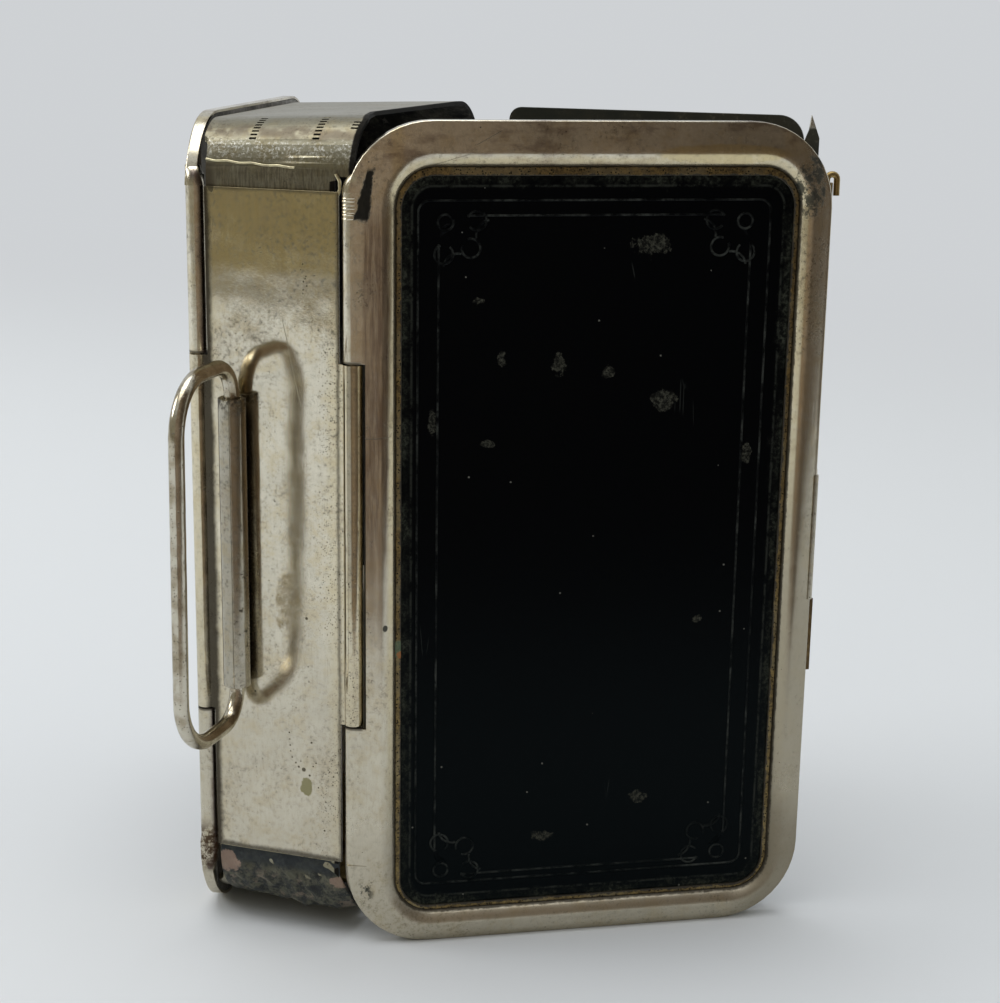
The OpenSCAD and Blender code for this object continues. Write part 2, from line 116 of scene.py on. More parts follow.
class LanternShape(bpy.types.PropertyGroup):
    """Sizes of the lantern's pressed and bent parts."""

    rim_top: FloatProperty(
        name="Rim at the top",
        description="Width of the rim's crown along a cover's upper edge",
        default=5.4 * MM,
        min=4 * MM,
        max=7 * MM,
        unit="LENGTH",
    )
    rim_bottom: FloatProperty(
        name="Rim at the bottom",
        description="Width of the rim's crown along a cover's lower edge",
        default=4.1 * MM,
        min=3 * MM,
        max=6 * MM,
        unit="LENGTH",
    )
    rim_free: FloatProperty(
        name="Rim at the free side",
        description="Width of the rim's crown along a cover's free edge",
        default=4.1 * MM,
        min=3 * MM,
        max=6 * MM,
        unit="LENGTH",
    )
    rim_hinge: FloatProperty(
        name="Rim at the hinge",
        description="Width of the rim's crown beside the hinge",
        default=6.1 * MM,
        min=4 * MM,
        max=7 * MM,
        unit="LENGTH",
    )
    corner: FloatProperty(
        name="Corner",
        description="Radius of a cover's corners",
        default=10.5 * MM,
        min=8 * MM,
        max=12 * MM,
        unit="LENGTH",
    )
    crest: FloatProperty(
        name="Crest",
        description="Place of the rim's crest across its width",
        default=0.62,
        min=0.4,
        max=0.8,
        subtype="FACTOR",
    )
    ridge: FloatProperty(
        name="Ridge",
        description="Height of an embossed line",
        default=0.12 * MM,
        min=0.05 * MM,
        max=0.2 * MM,
        precision=5,
        unit="LENGTH",
    )
    crimps: IntProperty(
        name="Crimps",
        description="Crimps at the end of the front cover's upper knuckle",
        default=7,
        min=1,
        max=12,
    )
    crust: FloatProperty(
        name="Crust",
        description="Thickness of the crust on the lower bend",
        default=0.4 * MM,
        min=0,
        max=0.8 * MM,
        precision=5,
        unit="LENGTH",
    )


class LanternFinish(bpy.types.PropertyGroup):
    """Colours of the lantern's metals, paints and wax."""

    nickel: FloatVectorProperty(
        name="Nickel", description="Clean worn nickel", subtype="COLOR", default=(0.74, 0.69, 0.56)
    )
    golden: FloatVectorProperty(
        name="Golden nickel", description="Nickel worn down to its brass", subtype="COLOR", default=(0.66, 0.54, 0.27)
    )
    roof: FloatVectorProperty(
        name="Roof nickel", description="Dull frosted nickel of the case", subtype="COLOR", default=(0.29, 0.27, 0.195)
    )
    japan: FloatVectorProperty(
        name="Japan", description="Black stoving paint", subtype="COLOR", default=(0.0012, 0.0016, 0.0022)
    )
    rubbed: FloatVectorProperty(
        name="Rubbed paint", description="Grey where the paint is rubbed", subtype="COLOR", default=(0.11, 0.12, 0.11)
    )
    soot: FloatVectorProperty(
        name="Soot", description="Soot inside the case", subtype="COLOR", default=(0.006, 0.006, 0.007)
    )
    tin: FloatVectorProperty(name="Tin", description="Dull tin", subtype="COLOR", default=(0.3, 0.28, 0.24))
    brass: FloatVectorProperty(
        name="Brass", description="Tarnished brass", subtype="COLOR", default=(0.42, 0.31, 0.13)
    )
    olive: FloatVectorProperty(
        name="Olive tin", description="Dark lacquer of the leaf", subtype="COLOR", default=(0.03, 0.034, 0.028)
    )
    wax: FloatVectorProperty(name="Wax", description="Candle wax", subtype="COLOR", default=(0.83, 0.76, 0.6))


class LanternStage(bpy.types.PropertyGroup):
    """Floor, backdrop and studio light."""

    floor: FloatVectorProperty(
        name="Floor", description="Colour of the floor and backdrop", subtype="COLOR", default=(0.62, 0.64, 0.66)
    )
    room: FloatVectorProperty(
        name="Room", description="Dimmer room round the camera", subtype="COLOR", default=(0.26, 0.24, 0.18)
    )
    flag: FloatVectorProperty(
        name="Flag", description="Dark card beside the camera", subtype="COLOR", default=(0.1, 0.08, 0.062)
    )
    lamp: FloatProperty(
        name="Lamp", description="Power of the lamp overhead", default=11, min=0, max=50, unit="POWER"
    )


def mm(size):
    """One of the lantern's own sizes, in millimetres."""
    return getattr(bpy.context.scene.lantern_shape, size) / MM


def finish():
    return bpy.context.scene.lantern_finish


def rgba(colour):
    return (*colour, 1)


class Paint:
    """One material, built node by node in a space measured in millimetres."""

    def __init__(self, name, space, metallic=0.0):
        self.material = bpy.data.materials.new(name)
        self.material.use_nodes = True
        self.tree = self.material.node_tree
        self.shader = self.tree.nodes["Principled BSDF"]
        self.shader.inputs["Metallic"].default_value = metallic
        self.place = self.local(space)
        parts = self.node("ShaderNodeSeparateXYZ", Vector=self.place)
        self.v, self.u, self.z = parts.outputs

    def node(self, kind, settings=None, **inputs):
        made = self.tree.nodes.new(kind)
        for name, value in (settings or {}).items():
            setattr(made, name, value)
        for name, value in inputs.items():
            self.put(made.inputs[name.replace("_", " ")], value)
        return made

    def put(self, socket, value):
        if isinstance(value, bpy.types.NodeSocket):
            self.tree.links.new(value, socket)
        else:
            socket.default_value = value

    def local(self, space):
        """Position in a space's own v, u and z, in millimetres."""
        where = self.node("ShaderNodeTexCoord").outputs["Object"]
        cos, sin = math.cos(space.turn), math.sin(space.turn)
        x, y = space.origin[0] * space.side / MM, space.origin[1] / MM
        return self.node(
            "ShaderNodeMapping",
            Vector=where,
            Location=(sin * y - cos * x, -sin * x - cos * y, 0),
            Rotation=(0, 0, space.turn),
            Scale=(space.side / MM, 1 / MM, 1 / MM),
        ).outputs[0]

    def stretched(self, v=1, u=1, z=1, turn=0.0):
        """The place, drawn out along its axes, so that a pattern on it runs in one direction."""
        return self.node("ShaderNodeMapping", Vector=self.place, Scale=(v, u, z), Rotation=(turn, 0, 0)).outputs[0]

    def math(self, operation, a, b=0.0, clamp=False):
        made = self.node("ShaderNodeMath", {"operation": operation, "use_clamp": clamp})
        self.put(made.inputs[0], a)
        self.put(made.inputs[1], b)
        return made.outputs[0]

    def step(self, value, low, high):
        """Rises smoothly from 0 at low to 1 at high, or falls where low is the greater."""
        made = self.node("ShaderNodeMapRange", {"interpolation_type": "SMOOTHSTEP"})
        for socket, number in zip(made.inputs, (value, low, high, 0.0, 1.0)):
            self.put(socket, number)
        return made.outputs[0]

    def all_of(self, *masks):
        total = masks[0]
        for mask in masks[1:]:
            total = self.math("MULTIPLY", total, mask)
        return total

    def any_of(self, *masks):
        total = masks[0]
        for mask in masks[1:]:
            total = self.math("MAXIMUM", total, mask)
        return total

    def band(self, value, low, high, soft):
        """1 between low and high, with soft ends."""
        return self.all_of(self.step(value, low - soft, low + soft), self.step(value, high + soft, high - soft))

    def noise(self, per_mm, detail=3.0, roughness=0.5, at=None, distortion=0.0):
        return self.node(
            "ShaderNodeTexNoise",
            Vector=self.place if at is None else at,
            Scale=per_mm,
            Detail=detail,
            Roughness=roughness,
            Distortion=distortion,
        ).outputs[0]

    def cells(self, per_mm, at=None, feature="F1"):
        made = self.node("ShaderNodeTexVoronoi", {"feature": feature}, Vector=self.place if at is None else at, Scale=per_mm)
        return made.outputs["Distance"], made.outputs.get("Color")

    def pits(self, per_mm, size, share, at=None):
        """Small dark spots in a share of the cells of a pattern."""
        distance, colour = self.cells(per_mm, at)
        chosen = self.node("ShaderNodeSeparateColor", Color=colour).outputs[0]
        return self.all_of(self.step(distance, size, size * 0.6), self.math("LESS_THAN", chosen, share))

    def scratches(self, per_mm, turn, stretch, thin, share):
        """Thin straight marks that run in one direction, in a share of the surface."""
        at = self.stretched(v=per_mm, u=per_mm, z=per_mm * stretch, turn=turn)
        distance, _ = self.cells(1.0, at, "DISTANCE_TO_EDGE")
        where = self.noise(0.11, detail=2, at=self.stretched(u=1.3, z=0.7, turn=turn * 2))
        return self.all_of(self.step(distance, thin, thin * 0.3), self.step(where, 1 - share, 1.05 - share))

    def mix(self, factor, a, b):
        made = self.node("ShaderNodeMix", {"data_type": "RGBA"})
        self.put(made.inputs[0], factor)
        self.put(made.inputs[6], rgba(a) if isinstance(a, tuple) else a)
        self.put(made.inputs[7], rgba(b) if isinstance(b, tuple) else b)
        return made.outputs[2]

    def scale(self, value, low, high):
        """Turns 0 to 1 into low to high."""
        return self.math("ADD", self.math("MULTIPLY", value, high - low), low)

    def inset(self, low, high, radius):
        """How far inside a cover's outline with round corners a place lies, below 0 outside it."""
        past = []
        for value, start, end in ((self.u, low[0], high[0]), (self.z, low[1], high[1])):
            away = self.math("ABSOLUTE", self.math("SUBTRACT", value, (start + end) / 2))
            past.append(self.math("SUBTRACT", away, (end - start) / 2 - radius))
        squares = [self.math("POWER", self.math("MAXIMUM", value, 0.0), 2.0) for value in past]
        corner = self.math("SQRT", self.math("ADD", *squares))
        side = self.math("MINIMUM", self.math("MAXIMUM", *past), 0.0)
        return self.math("SUBTRACT", radius, self.math("ADD", corner, side))

    def spot(self, across, place, size, ragged=0.3, per_mm=1.0):
        """1 inside a ragged oval at a place on a flat side, 0 outside it."""
        squares = []
        for value, middle, half in zip((across, self.z), place, size):
            squares.append(self.math("POWER", self.math("DIVIDE", self.math("SUBTRACT", value, middle), half), 2.0))
        away = self.math("ADD", *squares)
        away = self.math("ADD", away, self.scale(self.noise(per_mm, detail=5, roughness=0.7), -ragged * 2, ragged * 2))
        return self.step(away, 1.2, 0.8)

    def dots(self, across, places):
        """1 inside small round spots on a flat side, each given as its place and radius."""
        found = []
        for where, height, radius in places:
            aside = self.math("POWER", self.math("SUBTRACT", across, where), 2.0)
            above = self.math("POWER", self.math("SUBTRACT", self.z, height), 2.0)
            found.append(self.step(self.math("ADD", aside, above), radius**2 * 1.3, radius**2 * 0.5))
        return self.any_of(*found)

    def mark(self, across, start, end, width):
        """1 along a thin straight scratch between two places on a flat side."""
        du, dz = end[0] - start[0], end[1] - start[1]
        size = math.hypot(du, dz)
        u, z = self.math("SUBTRACT", across, start[0]), self.math("SUBTRACT", self.z, start[1])
        along = self.math("ADD", self.math("MULTIPLY", u, du / size), self.math("MULTIPLY", z, dz / size))
        aside = self.math("SUBTRACT", self.math("MULTIPLY", u, dz / size), self.math("MULTIPLY", z, du / size))
        aside = self.math("ADD", aside, self.scale(self.noise(0.5), -width, width))
        thin = self.step(self.math("ABSOLUTE", aside), width * 0.6, width * 0.3)
        return self.all_of(thin, self.band(along, 0, size, size * 0.1))

    def bump(self, height, depth_mm, under=None):
        made = self.node("ShaderNodeBump", Height=height, Distance=depth_mm * MM, Strength=1.0)
        if under is not None:
            self.put(made.inputs["Normal"], under)
        return made.outputs[0]

    def done(self, colour, roughness, normal=None):
        self.put(self.shader.inputs["Base Color"], rgba(colour) if isinstance(colour, tuple) else colour)
        self.put(self.shader.inputs["Roughness"], roughness)
        if normal is not None:
            self.put(self.shader.inputs["Normal"], normal)
        return self.material


def darker(colour, share):
    return tuple(c * share for c in colour)


def worn_nickel(name, space, clean=None, rough=0.12, wear=1.0, golden=None, stains_and_shades=()):
    """Old nickel plate: mottled warm and cool, browned and pitted in places, golden where a mask says, and stained or
    painted with shade, highlights and reflections where the masks it is given say.
    """
    p = Paint(name, space, metallic=1.0)
    clean = clean or tuple(finish().nickel)
    cloud = p.noise(0.08, detail=5, roughness=0.62)
    mottle = p.noise(0.42, detail=8, roughness=0.74)
    fine = p.noise(1.7, detail=8, roughness=0.82)
    patches = p.step(p.noise(0.1, detail=6, roughness=0.72), 0.4, 0.62)
    grain = p.noise(1.0, detail=4, roughness=0.7, at=p.stretched(v=7, u=7, z=0.45))
    colour = p.mix(p.step(cloud, 0.38, 0.66), clean, darker(clean, 0.86))
    if golden is not None:
        colour = p.mix(golden(p), colour, tuple(finish().golden))
    warm = tuple(c * tint for c, tint in zip(clean, (0.84, 0.76, 0.6)))
    colour = p.mix(p.all_of(p.step(mottle, 0.44, 0.66), 0.6 * wear), colour, warm)
    colour = p.mix(p.all_of(p.step(mottle, 0.48, 0.3), 0.35), colour, tuple(min(c * 1.16, 0.95) for c in clean))
    colour = p.mix(p.all_of(p.step(grain, 0.45, 0.75), 0.2), colour, darker(clean, 0.45))
    brown = p.all_of(p.step(p.noise(0.1, detail=5, roughness=0.66), 0.5, 0.68), p.step(fine, 0.36, 0.62))
    colour = p.mix(p.all_of(brown, 0.45 * wear), colour, (0.33, 0.26, 0.16))
    dark = p.all_of(p.step(fine, 0.5, 0.64), p.scale(patches, 0.35, 1.0))
    colour = p.mix(p.all_of(dark, min(0.66 * wear, 0.85)), colour, darker(clean, 0.22))
    dots = p.any_of(p.all_of(p.pits(2.3, 0.26, 0.05 * wear), patches), p.pits(0.7, 0.08, 0.12 * wear))
    colour = p.mix(p.all_of(dots, 0.9), colour, (0.028, 0.024, 0.016))
    rubs = p.any_of(p.scratches(0.9, 0.6, 0.12, 0.02, 0.36), p.scratches(0.7, -0.3, 0.06, 0.016, 0.34))
    colour = p.mix(p.all_of(rubs, 0.3), colour, darker(clean, 0.55))
    rough_value = p.math("ADD", p.scale(cloud, rough - 0.04, rough + 0.08), p.all_of(p.any_of(dark, brown), 0.12))
    # These masks hold stains as well as painted shade, painted highlights and painted reflections, each with its
    # colour and its change in roughness.
    for stain in stains_and_shades:
        mask, stain_or_shade_colour, dulling = stain(p)
        colour = p.mix(mask, colour, stain_or_shade_colour)
        rough_value = p.math("ADD", rough_value, p.all_of(mask, dulling))
    height = p.math("SUBTRACT", p.all_of(grain, 0.12), dots)
    height = p.math("SUBTRACT", height, p.all_of(rubs, 0.4))
    height = p.math("ADD", height, p.all_of(fine, patches, 0.7))
    normal = p.bump(height, 0.007, p.bump(p.noise(0.11, detail=2), 0.1))
    return p.done(colour, rough_value, normal)


# Places and half sizes of the panel's rubbed patches, each as u, z, half width and half height
RUBBED_PATCHES = (
    (38.9, 70.8, 1.5, 1.3), (24.4, 13.4, 1.5, 0.7), (25.3, 75.6, 0.9, 1.2), (49.9, 63.9, 0.6, 1.3),
    (16.6, 65.8, 0.8, 0.5), (44.3, 42.1, 0.6, 0.5), (31.5, 74.5, 0.8, 0.7), (18.2, 76.4, 0.5, 1.0),
    (15.2, 83.6, 0.7, 0.4), (36.5, 90.2, 2.3, 1.1), (9.7, 68.6, 0.5, 1.4), (37.2, 18.0, 1.2, 0.8),
)


def black_japan(name, space):
    """Black stoving paint on a pressed panel: scratched, rubbed in patches and on its raised lines."""
    p = Paint(name, space)
    face = PANEL_HIGH[0] - mm("ridge")
    black, grey = tuple(finish().japan), tuple(finish().rubbed)
    crowd = p.noise(0.5, detail=7, roughness=0.8)
    broken = p.step(p.noise(1.7, detail=7, roughness=0.8), 0.44, 0.6)
    here = p.step(p.noise(0.14, detail=6, roughness=0.75), 0.4, 0.62)
    ridge = p.all_of(p.step(p.v, face + 0.04, face + 0.1), p.step(crowd, 0.4, 0.62), p.scale(here, 0.2, 1.0))
    fine = p.any_of(
        p.scratches(0.55, 0.9, 0.08, 0.018, 0.3),
        p.scratches(0.4, -0.5, 0.1, 0.014, 0.28),
        p.scratches(0.8, 1.9, 0.06, 0.016, 0.24),
    )
    flecks = p.any_of(p.pits(0.9, 0.07, 0.12), p.pits(0.33, 0.05, 0.2))
    patches = [p.spot(p.u, (u, z), (half_u, half_z), 1.3, 0.8) for u, z, half_u, half_z in RUBBED_PATCHES]
    worn = p.all_of(p.any_of(*patches), p.scale(broken, 0.1, 1.0))
    inside = p.inset(*opening_edge(), 3.8)
    ragged = p.math("ADD", inside, p.scale(p.noise(0.7, detail=7, roughness=0.8), -2.2, 2.2))
    edges = p.all_of(p.step(ragged, 1.5, 0.2), p.scale(broken, 0.15, 1.0), p.scale(here, 0.12, 1.0))
    rolled = p.all_of(p.band(inside, 1.1, 1.35, 0.12), p.step(crowd, 0.42, 0.56))
    # Painted reflection of the floor: the lower part of the panel turns a little lighter and bluer.
    colour = p.mix(p.step(p.z, 62, 18), black, (0.0016, 0.0034, 0.0042))
    colour = p.mix(p.all_of(edges, 0.85), colour, (0.055, 0.06, 0.045))
    colour = p.mix(p.all_of(rolled, 0.4), colour, (0.06, 0.065, 0.055))
    colour = p.mix(p.all_of(fine, 0.16), colour, grey)
    colour = p.mix(p.all_of(worn, 0.8), colour, (0.07, 0.07, 0.055))
    colour = p.mix(p.all_of(flecks, 0.5), colour, (0.25, 0.25, 0.22))
    colour = p.mix(p.all_of(ridge, 0.42), colour, grey)
    rough = p.scale(p.any_of(edges, worn, ridge), 0.28, 0.8)
    orange_peel = p.noise(0.9, detail=3)
    height = p.math("SUBTRACT", p.all_of(orange_peel, 0.6), p.any_of(fine, worn, flecks))
    p.shader.inputs["Specular IOR Level"].default_value = 0.04
    return p.done(colour, rough, p.bump(height, 0.02))


def ledge_brass(name, space):
    """Narrow ledge round a panel: brown brass, darkened along both edges: with paint crept over the inner one, and
    with painted shade along the outer one, where it meets the rim.
    """
    p = Paint(name, space, metallic=1.0)
    grit = p.noise(1.6, detail=7, roughness=0.78)
    dull = darker(tuple(finish().brass), 0.72)
    colour = p.mix(p.step(grit, 0.38, 0.6), dull, (0.12, 0.092, 0.05))
    colour = p.mix(p.all_of(p.step(p.noise(0.2, detail=4), 0.45, 0.6), 0.5), colour, (0.3, 0.26, 0.16))
    spots = p.pits(2.6, 0.34, 0.45)
    wavy = p.scale(p.noise(1.2, detail=6, roughness=0.75), -0.5, 0.5)
    paint = p.step(p.math("ADD", p.inset(*opening_edge(), 3.8), wavy), -0.22, -0.08)
    # Painted shade along the ledge's outer edge, at the foot of the rim's inner wall.
    seam_shade = p.step(p.math("ADD", p.inset(*rim_edge(), 4.8), p.all_of(wavy, 0.4)), 0.2, 0.05)
    colour = p.mix(p.all_of(p.any_of(spots, paint, seam_shade), 0.9), colour, (0.016, 0.015, 0.012))
    green = p.spot(p.u, (5.6, 40.0), (0.8, 1.1), 0.5, 1.6)
    orange = p.all_of(p.spot(p.u, (5.9, 39.2), (0.6, 0.5), 0.5, 2.2), 0.9)
    colour = p.mix(p.all_of(green, 0.8), colour, (0.09, 0.14, 0.08))
    colour = p.mix(orange, colour, (0.35, 0.13, 0.03))
    p.put(p.shader.inputs["Metallic"], p.scale(p.any_of(green, orange, paint), 1.0, 0.1))
    return p.done(colour, p.scale(grit, 0.34, 0.66), p.bump(p.math("SUBTRACT", grit, spots), 0.04))


def tarnished_brass(name, space, clean=0.5):
    p = Paint(name, space, metallic=1.0)
    cloud = p.noise(0.5, detail=5, roughness=0.65)
    colour = p.mix(p.step(cloud, clean - 0.12, clean + 0.2), tuple(finish().brass), (0.13, 0.09, 0.045))
    spots = p.pits(2.2, 0.26, 0.25)
    colour = p.mix(p.all_of(spots, 0.8), colour, (0.03, 0.025, 0.015))
    return p.done(colour, p.scale(cloud, 0.28, 0.55), p.bump(p.math("SUBTRACT", cloud, spots), 0.03))


def sooty_tin(name, space, soot=0.5):
    """Tin sheet blackened by the flame, with cleaner metal where it was rubbed."""
    p = Paint(name, space)
    smoke = p.noise(0.07, detail=6, roughness=0.7)
    speck = p.noise(1.8, detail=6, roughness=0.7)
    mask = p.step(p.math("ADD", smoke, p.scale(speck, -0.12, 0.12)), soot - 0.16, soot + 0.16)
    colour = p.mix(mask, tuple(finish().soot), tuple(finish().tin))
    rubs = p.scratches(0.5, 0.7, 0.1, 0.03, 0.4)
    colour = p.mix(p.all_of(rubs, 0.4), colour, (0.34, 0.32, 0.28))
    p.put(p.shader.inputs["Metallic"], mask)
    rough = p.scale(mask, 0.85, 0.42)
    return p.done(colour, rough, p.bump(p.math("ADD", speck, p.all_of(smoke, 2.0)), 0.04))


def olive_tin(name, space, bright_above=None):
    """Dark lacquered tin of the window leaf and the tab, rubbed along its edges."""
    p = Paint(name, space)
    cloud = p.noise(0.12, detail=6, roughness=0.7)
    speck = p.noise(1.7, detail=6, roughness=0.75)
    colour = p.mix(p.step(cloud, 0.36, 0.66), tuple(finish().olive), (0.05, 0.048, 0.035))
    worn = p.all_of(p.step(speck, 0.54, 0.68), p.step(cloud, 0.45, 0.6))
    colour = p.mix(worn, colour, (0.16, 0.15, 0.12))
    metal = p.scale(worn, 0.2, 0.85)
    if bright_above is not None:
        tip = p.all_of(p.step(p.z, bright_above - 0.3, bright_above + 0.3), p.step(speck, 0.3, 0.42))
        colour = p.mix(tip, colour, (0.6, 0.58, 0.5))
        metal = p.any_of(metal, tip)
    p.put(p.shader.inputs["Metallic"], metal)
    p.shader.inputs["Specular IOR Level"].default_value = 0.3
    return p.done(colour, p.scale(cloud, 0.36, 0.6), p.bump(speck, 0.02))


def bent_wire(name, space):
    """Nickelled steel wire, brown in the hollows."""
    p = Paint(name, space, metallic=1.0)
    cloud = p.noise(0.35, detail=5, roughness=0.6)
    colour = p.mix(p.step(cloud, 0.4, 0.66), (0.6, 0.56, 0.46), (0.34, 0.29, 0.2))
    spots = p.any_of(p.pits(1.4, 0.16, 0.4), p.pits(3.6, 0.34, 0.26))
    colour = p.mix(p.all_of(spots, 0.85), colour, (0.05, 0.04, 0.03))
    along = p.noise(1.0, detail=3, at=p.stretched(v=6, u=6, z=0.35))
    return p.done(colour, p.scale(cloud, 0.1, 0.26), p.bump(p.math("SUBTRACT", along, spots), 0.012))


def candle_wax(name, space):
    p = Paint(name, space)
    cloud = p.noise(0.4, detail=4)
    sooty = p.all_of(p.step(p.z, CANDLE_HIGH[2] - 6, CANDLE_HIGH[2] + 1), p.step(p.noise(1.1, detail=5), 0.45, 0.7))
    colour = p.mix(cloud, tuple(finish().wax), darker(tuple(finish().wax), 0.9))
    colour = p.mix(p.all_of(sooty, 0.5), colour, (0.2, 0.17, 0.12))
    p.shader.inputs["Subsurface Weight"].default_value = 0.25
    p.shader.inputs["Subsurface Radius"].default_value = (0.003, 0.002, 0.0012)
    p.shader.inputs["Subsurface Scale"].default_value = 0.5
    return p.done(colour, p.scale(cloud, 0.38, 0.55), p.bump(cloud, 0.15))


def charred_wick(name, space):
    p = Paint(name, space)
    strands = p.noise(1.0, detail=4, at=p.stretched(v=7, u=7, z=1.6))
    colour = p.mix(p.step(p.z, WICK_LOW[2] + 2, WICK_LOW[2] + 3.4), (0.5, 0.44, 0.33), (0.012, 0.01, 0.009))
    return p.done(p.mix(strands, colour, (0.02, 0.017, 0.014)), 0.9, p.bump(strands, 0.15))


def smoky_mica(name, space):
    """Thin amber mica with cleavage flakes and smoke haze towards its edges."""
    p = Paint(name, space)
    flakes = p.noise(0.22, detail=5, roughness=0.6, distortion=1.4)
    haze = p.noise(0.06, detail=3)
    colour = p.mix(p.step(flakes, 0.4, 0.62), (0.86, 0.72, 0.42), (0.7, 0.52, 0.24))
    colour = p.mix(p.all_of(p.step(haze, 0.5, 0.75), 0.7), colour, (0.18, 0.13, 0.07))
    p.shader.inputs["Transmission Weight"].default_value = 0.85
    p.shader.inputs["IOR"].default_value = 1.56
    return p.done(colour, p.scale(haze, 0.06, 0.3), p.bump(flakes, 0.03))


def green_crust(name, space):
    """Corroded lower bend: olive-black crust with paler patches."""
    p = Paint(name, space)
    lumps = p.noise(0.7, detail=7, roughness=0.75)
    grit = p.noise(2.4, detail=6, roughness=0.75)
    colour = p.mix(p.step(lumps, 0.42, 0.6), (0.01, 0.014, 0.015), (0.1, 0.1, 0.068))
    colour = p.mix(p.all_of(p.step(grit, 0.56, 0.72), 0.8), colour, (0.26, 0.25, 0.19))
    tan = p.all_of(p.step(p.noise(0.25, detail=6, roughness=0.75), 0.52, 0.6), p.step(p.z, 8.6, 7.4))
    colour = p.mix(p.all_of(tan, 0.6), colour, (0.24, 0.19, 0.14))
    upper = p.step(p.math("ADD", p.z, p.scale(lumps, -1.5, 1.5)), 8.6, 9.6)
    colour = p.mix(p.all_of(upper, 0.8), colour, (0.012, 0.02, 0.026))
    pink = p.any_of(p.spot(p.v, (-7.4, 8.6), (1.5, 1.4), 1.2, 0.6), p.spot(p.v, (8.2, 8.0), (1.2, 0.8), 1.2, 0.6))
    colour = p.mix(p.all_of(pink, 0.75), colour, (0.36, 0.25, 0.19))
    p.put(p.shader.inputs["Metallic"], p.step(grit, 0.55, 0.75))
    return p.done(colour, p.scale(grit, 0.4, 0.85), p.bump(p.math("ADD", lumps, grit), 0.15))


def old_solder(name, space):
    p = Paint(name, space, metallic=1.0)
    lumps = p.noise(0.8, detail=5)
    colour = p.mix(p.step(lumps, 0.4, 0.65), (0.72, 0.66, 0.44), (0.45, 0.4, 0.27))
    return p.done(colour, p.scale(lumps, 0.22, 0.45), p.bump(lumps, 0.06))


def new_mesh(name, points, faces, materials, angle=35.0, places=None):
    """Closed mesh of world points, with outward normals, smooth up to an angle."""
    mesh = bpy.data.meshes.new(name)
    mesh.from_pydata([tuple(p) for p in points], [], faces)
    for material in materials:
        mesh.materials.append(material)
    if places is not None:
        mesh.polygons.foreach_set("material_index", places)
    return clean_object(name, mesh, angle)


def clean_object(name, mesh, angle=35.0):
    """Object of a closed mesh: doubles merged, normals outward, smooth up to an angle."""
    work = bmesh.new()
    work.from_mesh(mesh)
    bmesh.ops.remove_doubles(work, verts=work.verts, dist=1e-7)
    bmesh.ops.recalc_face_normals(work, faces=work.faces)
    work.to_mesh(mesh)
    work.free()
    mesh.polygons.foreach_set("use_smooth", [True] * len(mesh.polygons))
    mesh.set_sharp_from_angle(angle=math.radians(angle))
    made = bpy.data.objects.new(name, mesh)
    bpy.context.scene.collection.objects.link(made)
    return made


def applied(source, name, angle=35.0):
    """Plain object with a source's modifiers applied, in place of the source."""
    graph = bpy.context.evaluated_depsgraph_get()
    mesh = bpy.data.meshes.new_from_object(source.evaluated_get(graph))
    bpy.data.objects.remove(source)
    return clean_object(name, mesh, angle)


def evenly_shaded(piece):
    """Leans a piece's normals towards its larger faces, so that flat faces stay flat up to their edges."""
    modifier = piece.modifiers.new("Even shading", "WEIGHTED_NORMAL")
    modifier.keep_sharp = True
    graph = bpy.context.evaluated_depsgraph_get()
    mesh = bpy.data.meshes.new_from_object(piece.evaluated_get(graph))
    piece.modifiers.clear()
    before, piece.data = piece.data, mesh
    bpy.data.meshes.remove(before)


def hold(piece, body, slot, *nodes):
    """Puts a finished piece on its body, evenly shaded, and hides the nodes that it stands for; the finish that it is
    given is not used.
    """
    evenly_shaded(piece)
    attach(piece, body)
    if nodes:
        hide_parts(*nodes)
    return piece


def smooth_copy(node, name, material, slot, bevel=0.0, angle=30.0, reshape=None):
    """Copy of a CAD node with its facets merged, its curves smooth and its edges slightly broken."""
    mesh = frame["nodes"][node].data.copy()
    mesh.materials.clear()
    mesh.materials.append(material)
    work = bmesh.new()
    work.from_mesh(mesh)
    bmesh.ops.remove_doubles(work, verts=work.verts, dist=1e-7)
    if bevel:
        bmesh.ops.dissolve_limit(work, angle_limit=math.radians(0.6), verts=work.verts, edges=work.edges)
    for vertex in work.verts if reshape else ():
        vertex.co = reshape(vertex.co)
    work.to_mesh(mesh)
    work.free()
    piece = clean_object(name, mesh, angle)
    if bevel:
        modifier = piece.modifiers.new("Broken edges", "BEVEL")
        modifier.width = bevel * MM
        modifier.segments = 2
        modifier.limit_method = "ANGLE"
        modifier.angle_limit = math.radians(40)
        piece = applied(piece, name, angle)
    return hold(piece, BODY_OF[node], slot, node)


def round_rect(low, high, radius, along=20, around=12):
    """Points of a rectangle with round corners, as many on each side and in each corner."""
    corners = [
        (high[0] - radius, low[1] + radius, -90),
        (high[0] - radius, high[1] - radius, 0),
        (low[0] + radius, high[1] - radius, 90),
        (low[0] + radius, low[1] + radius, 180),
    ]
    arcs = []
    for u, z, start in corners:
        angles = [math.radians(start + 90 * k / around) for k in range(around + 1)]
        arcs.append([(u + radius * math.cos(a), z + radius * math.sin(a)) for a in angles])
    points = []
    for arc, following in zip(arcs, arcs[1:] + arcs[:1]):
        points += arc
        (u0, z0), (u1, z1) = arc[-1], following[0]
        points += [(u0 + (u1 - u0) * k / along, z0 + (z1 - z0) * k / along) for k in range(1, along)]
    return points


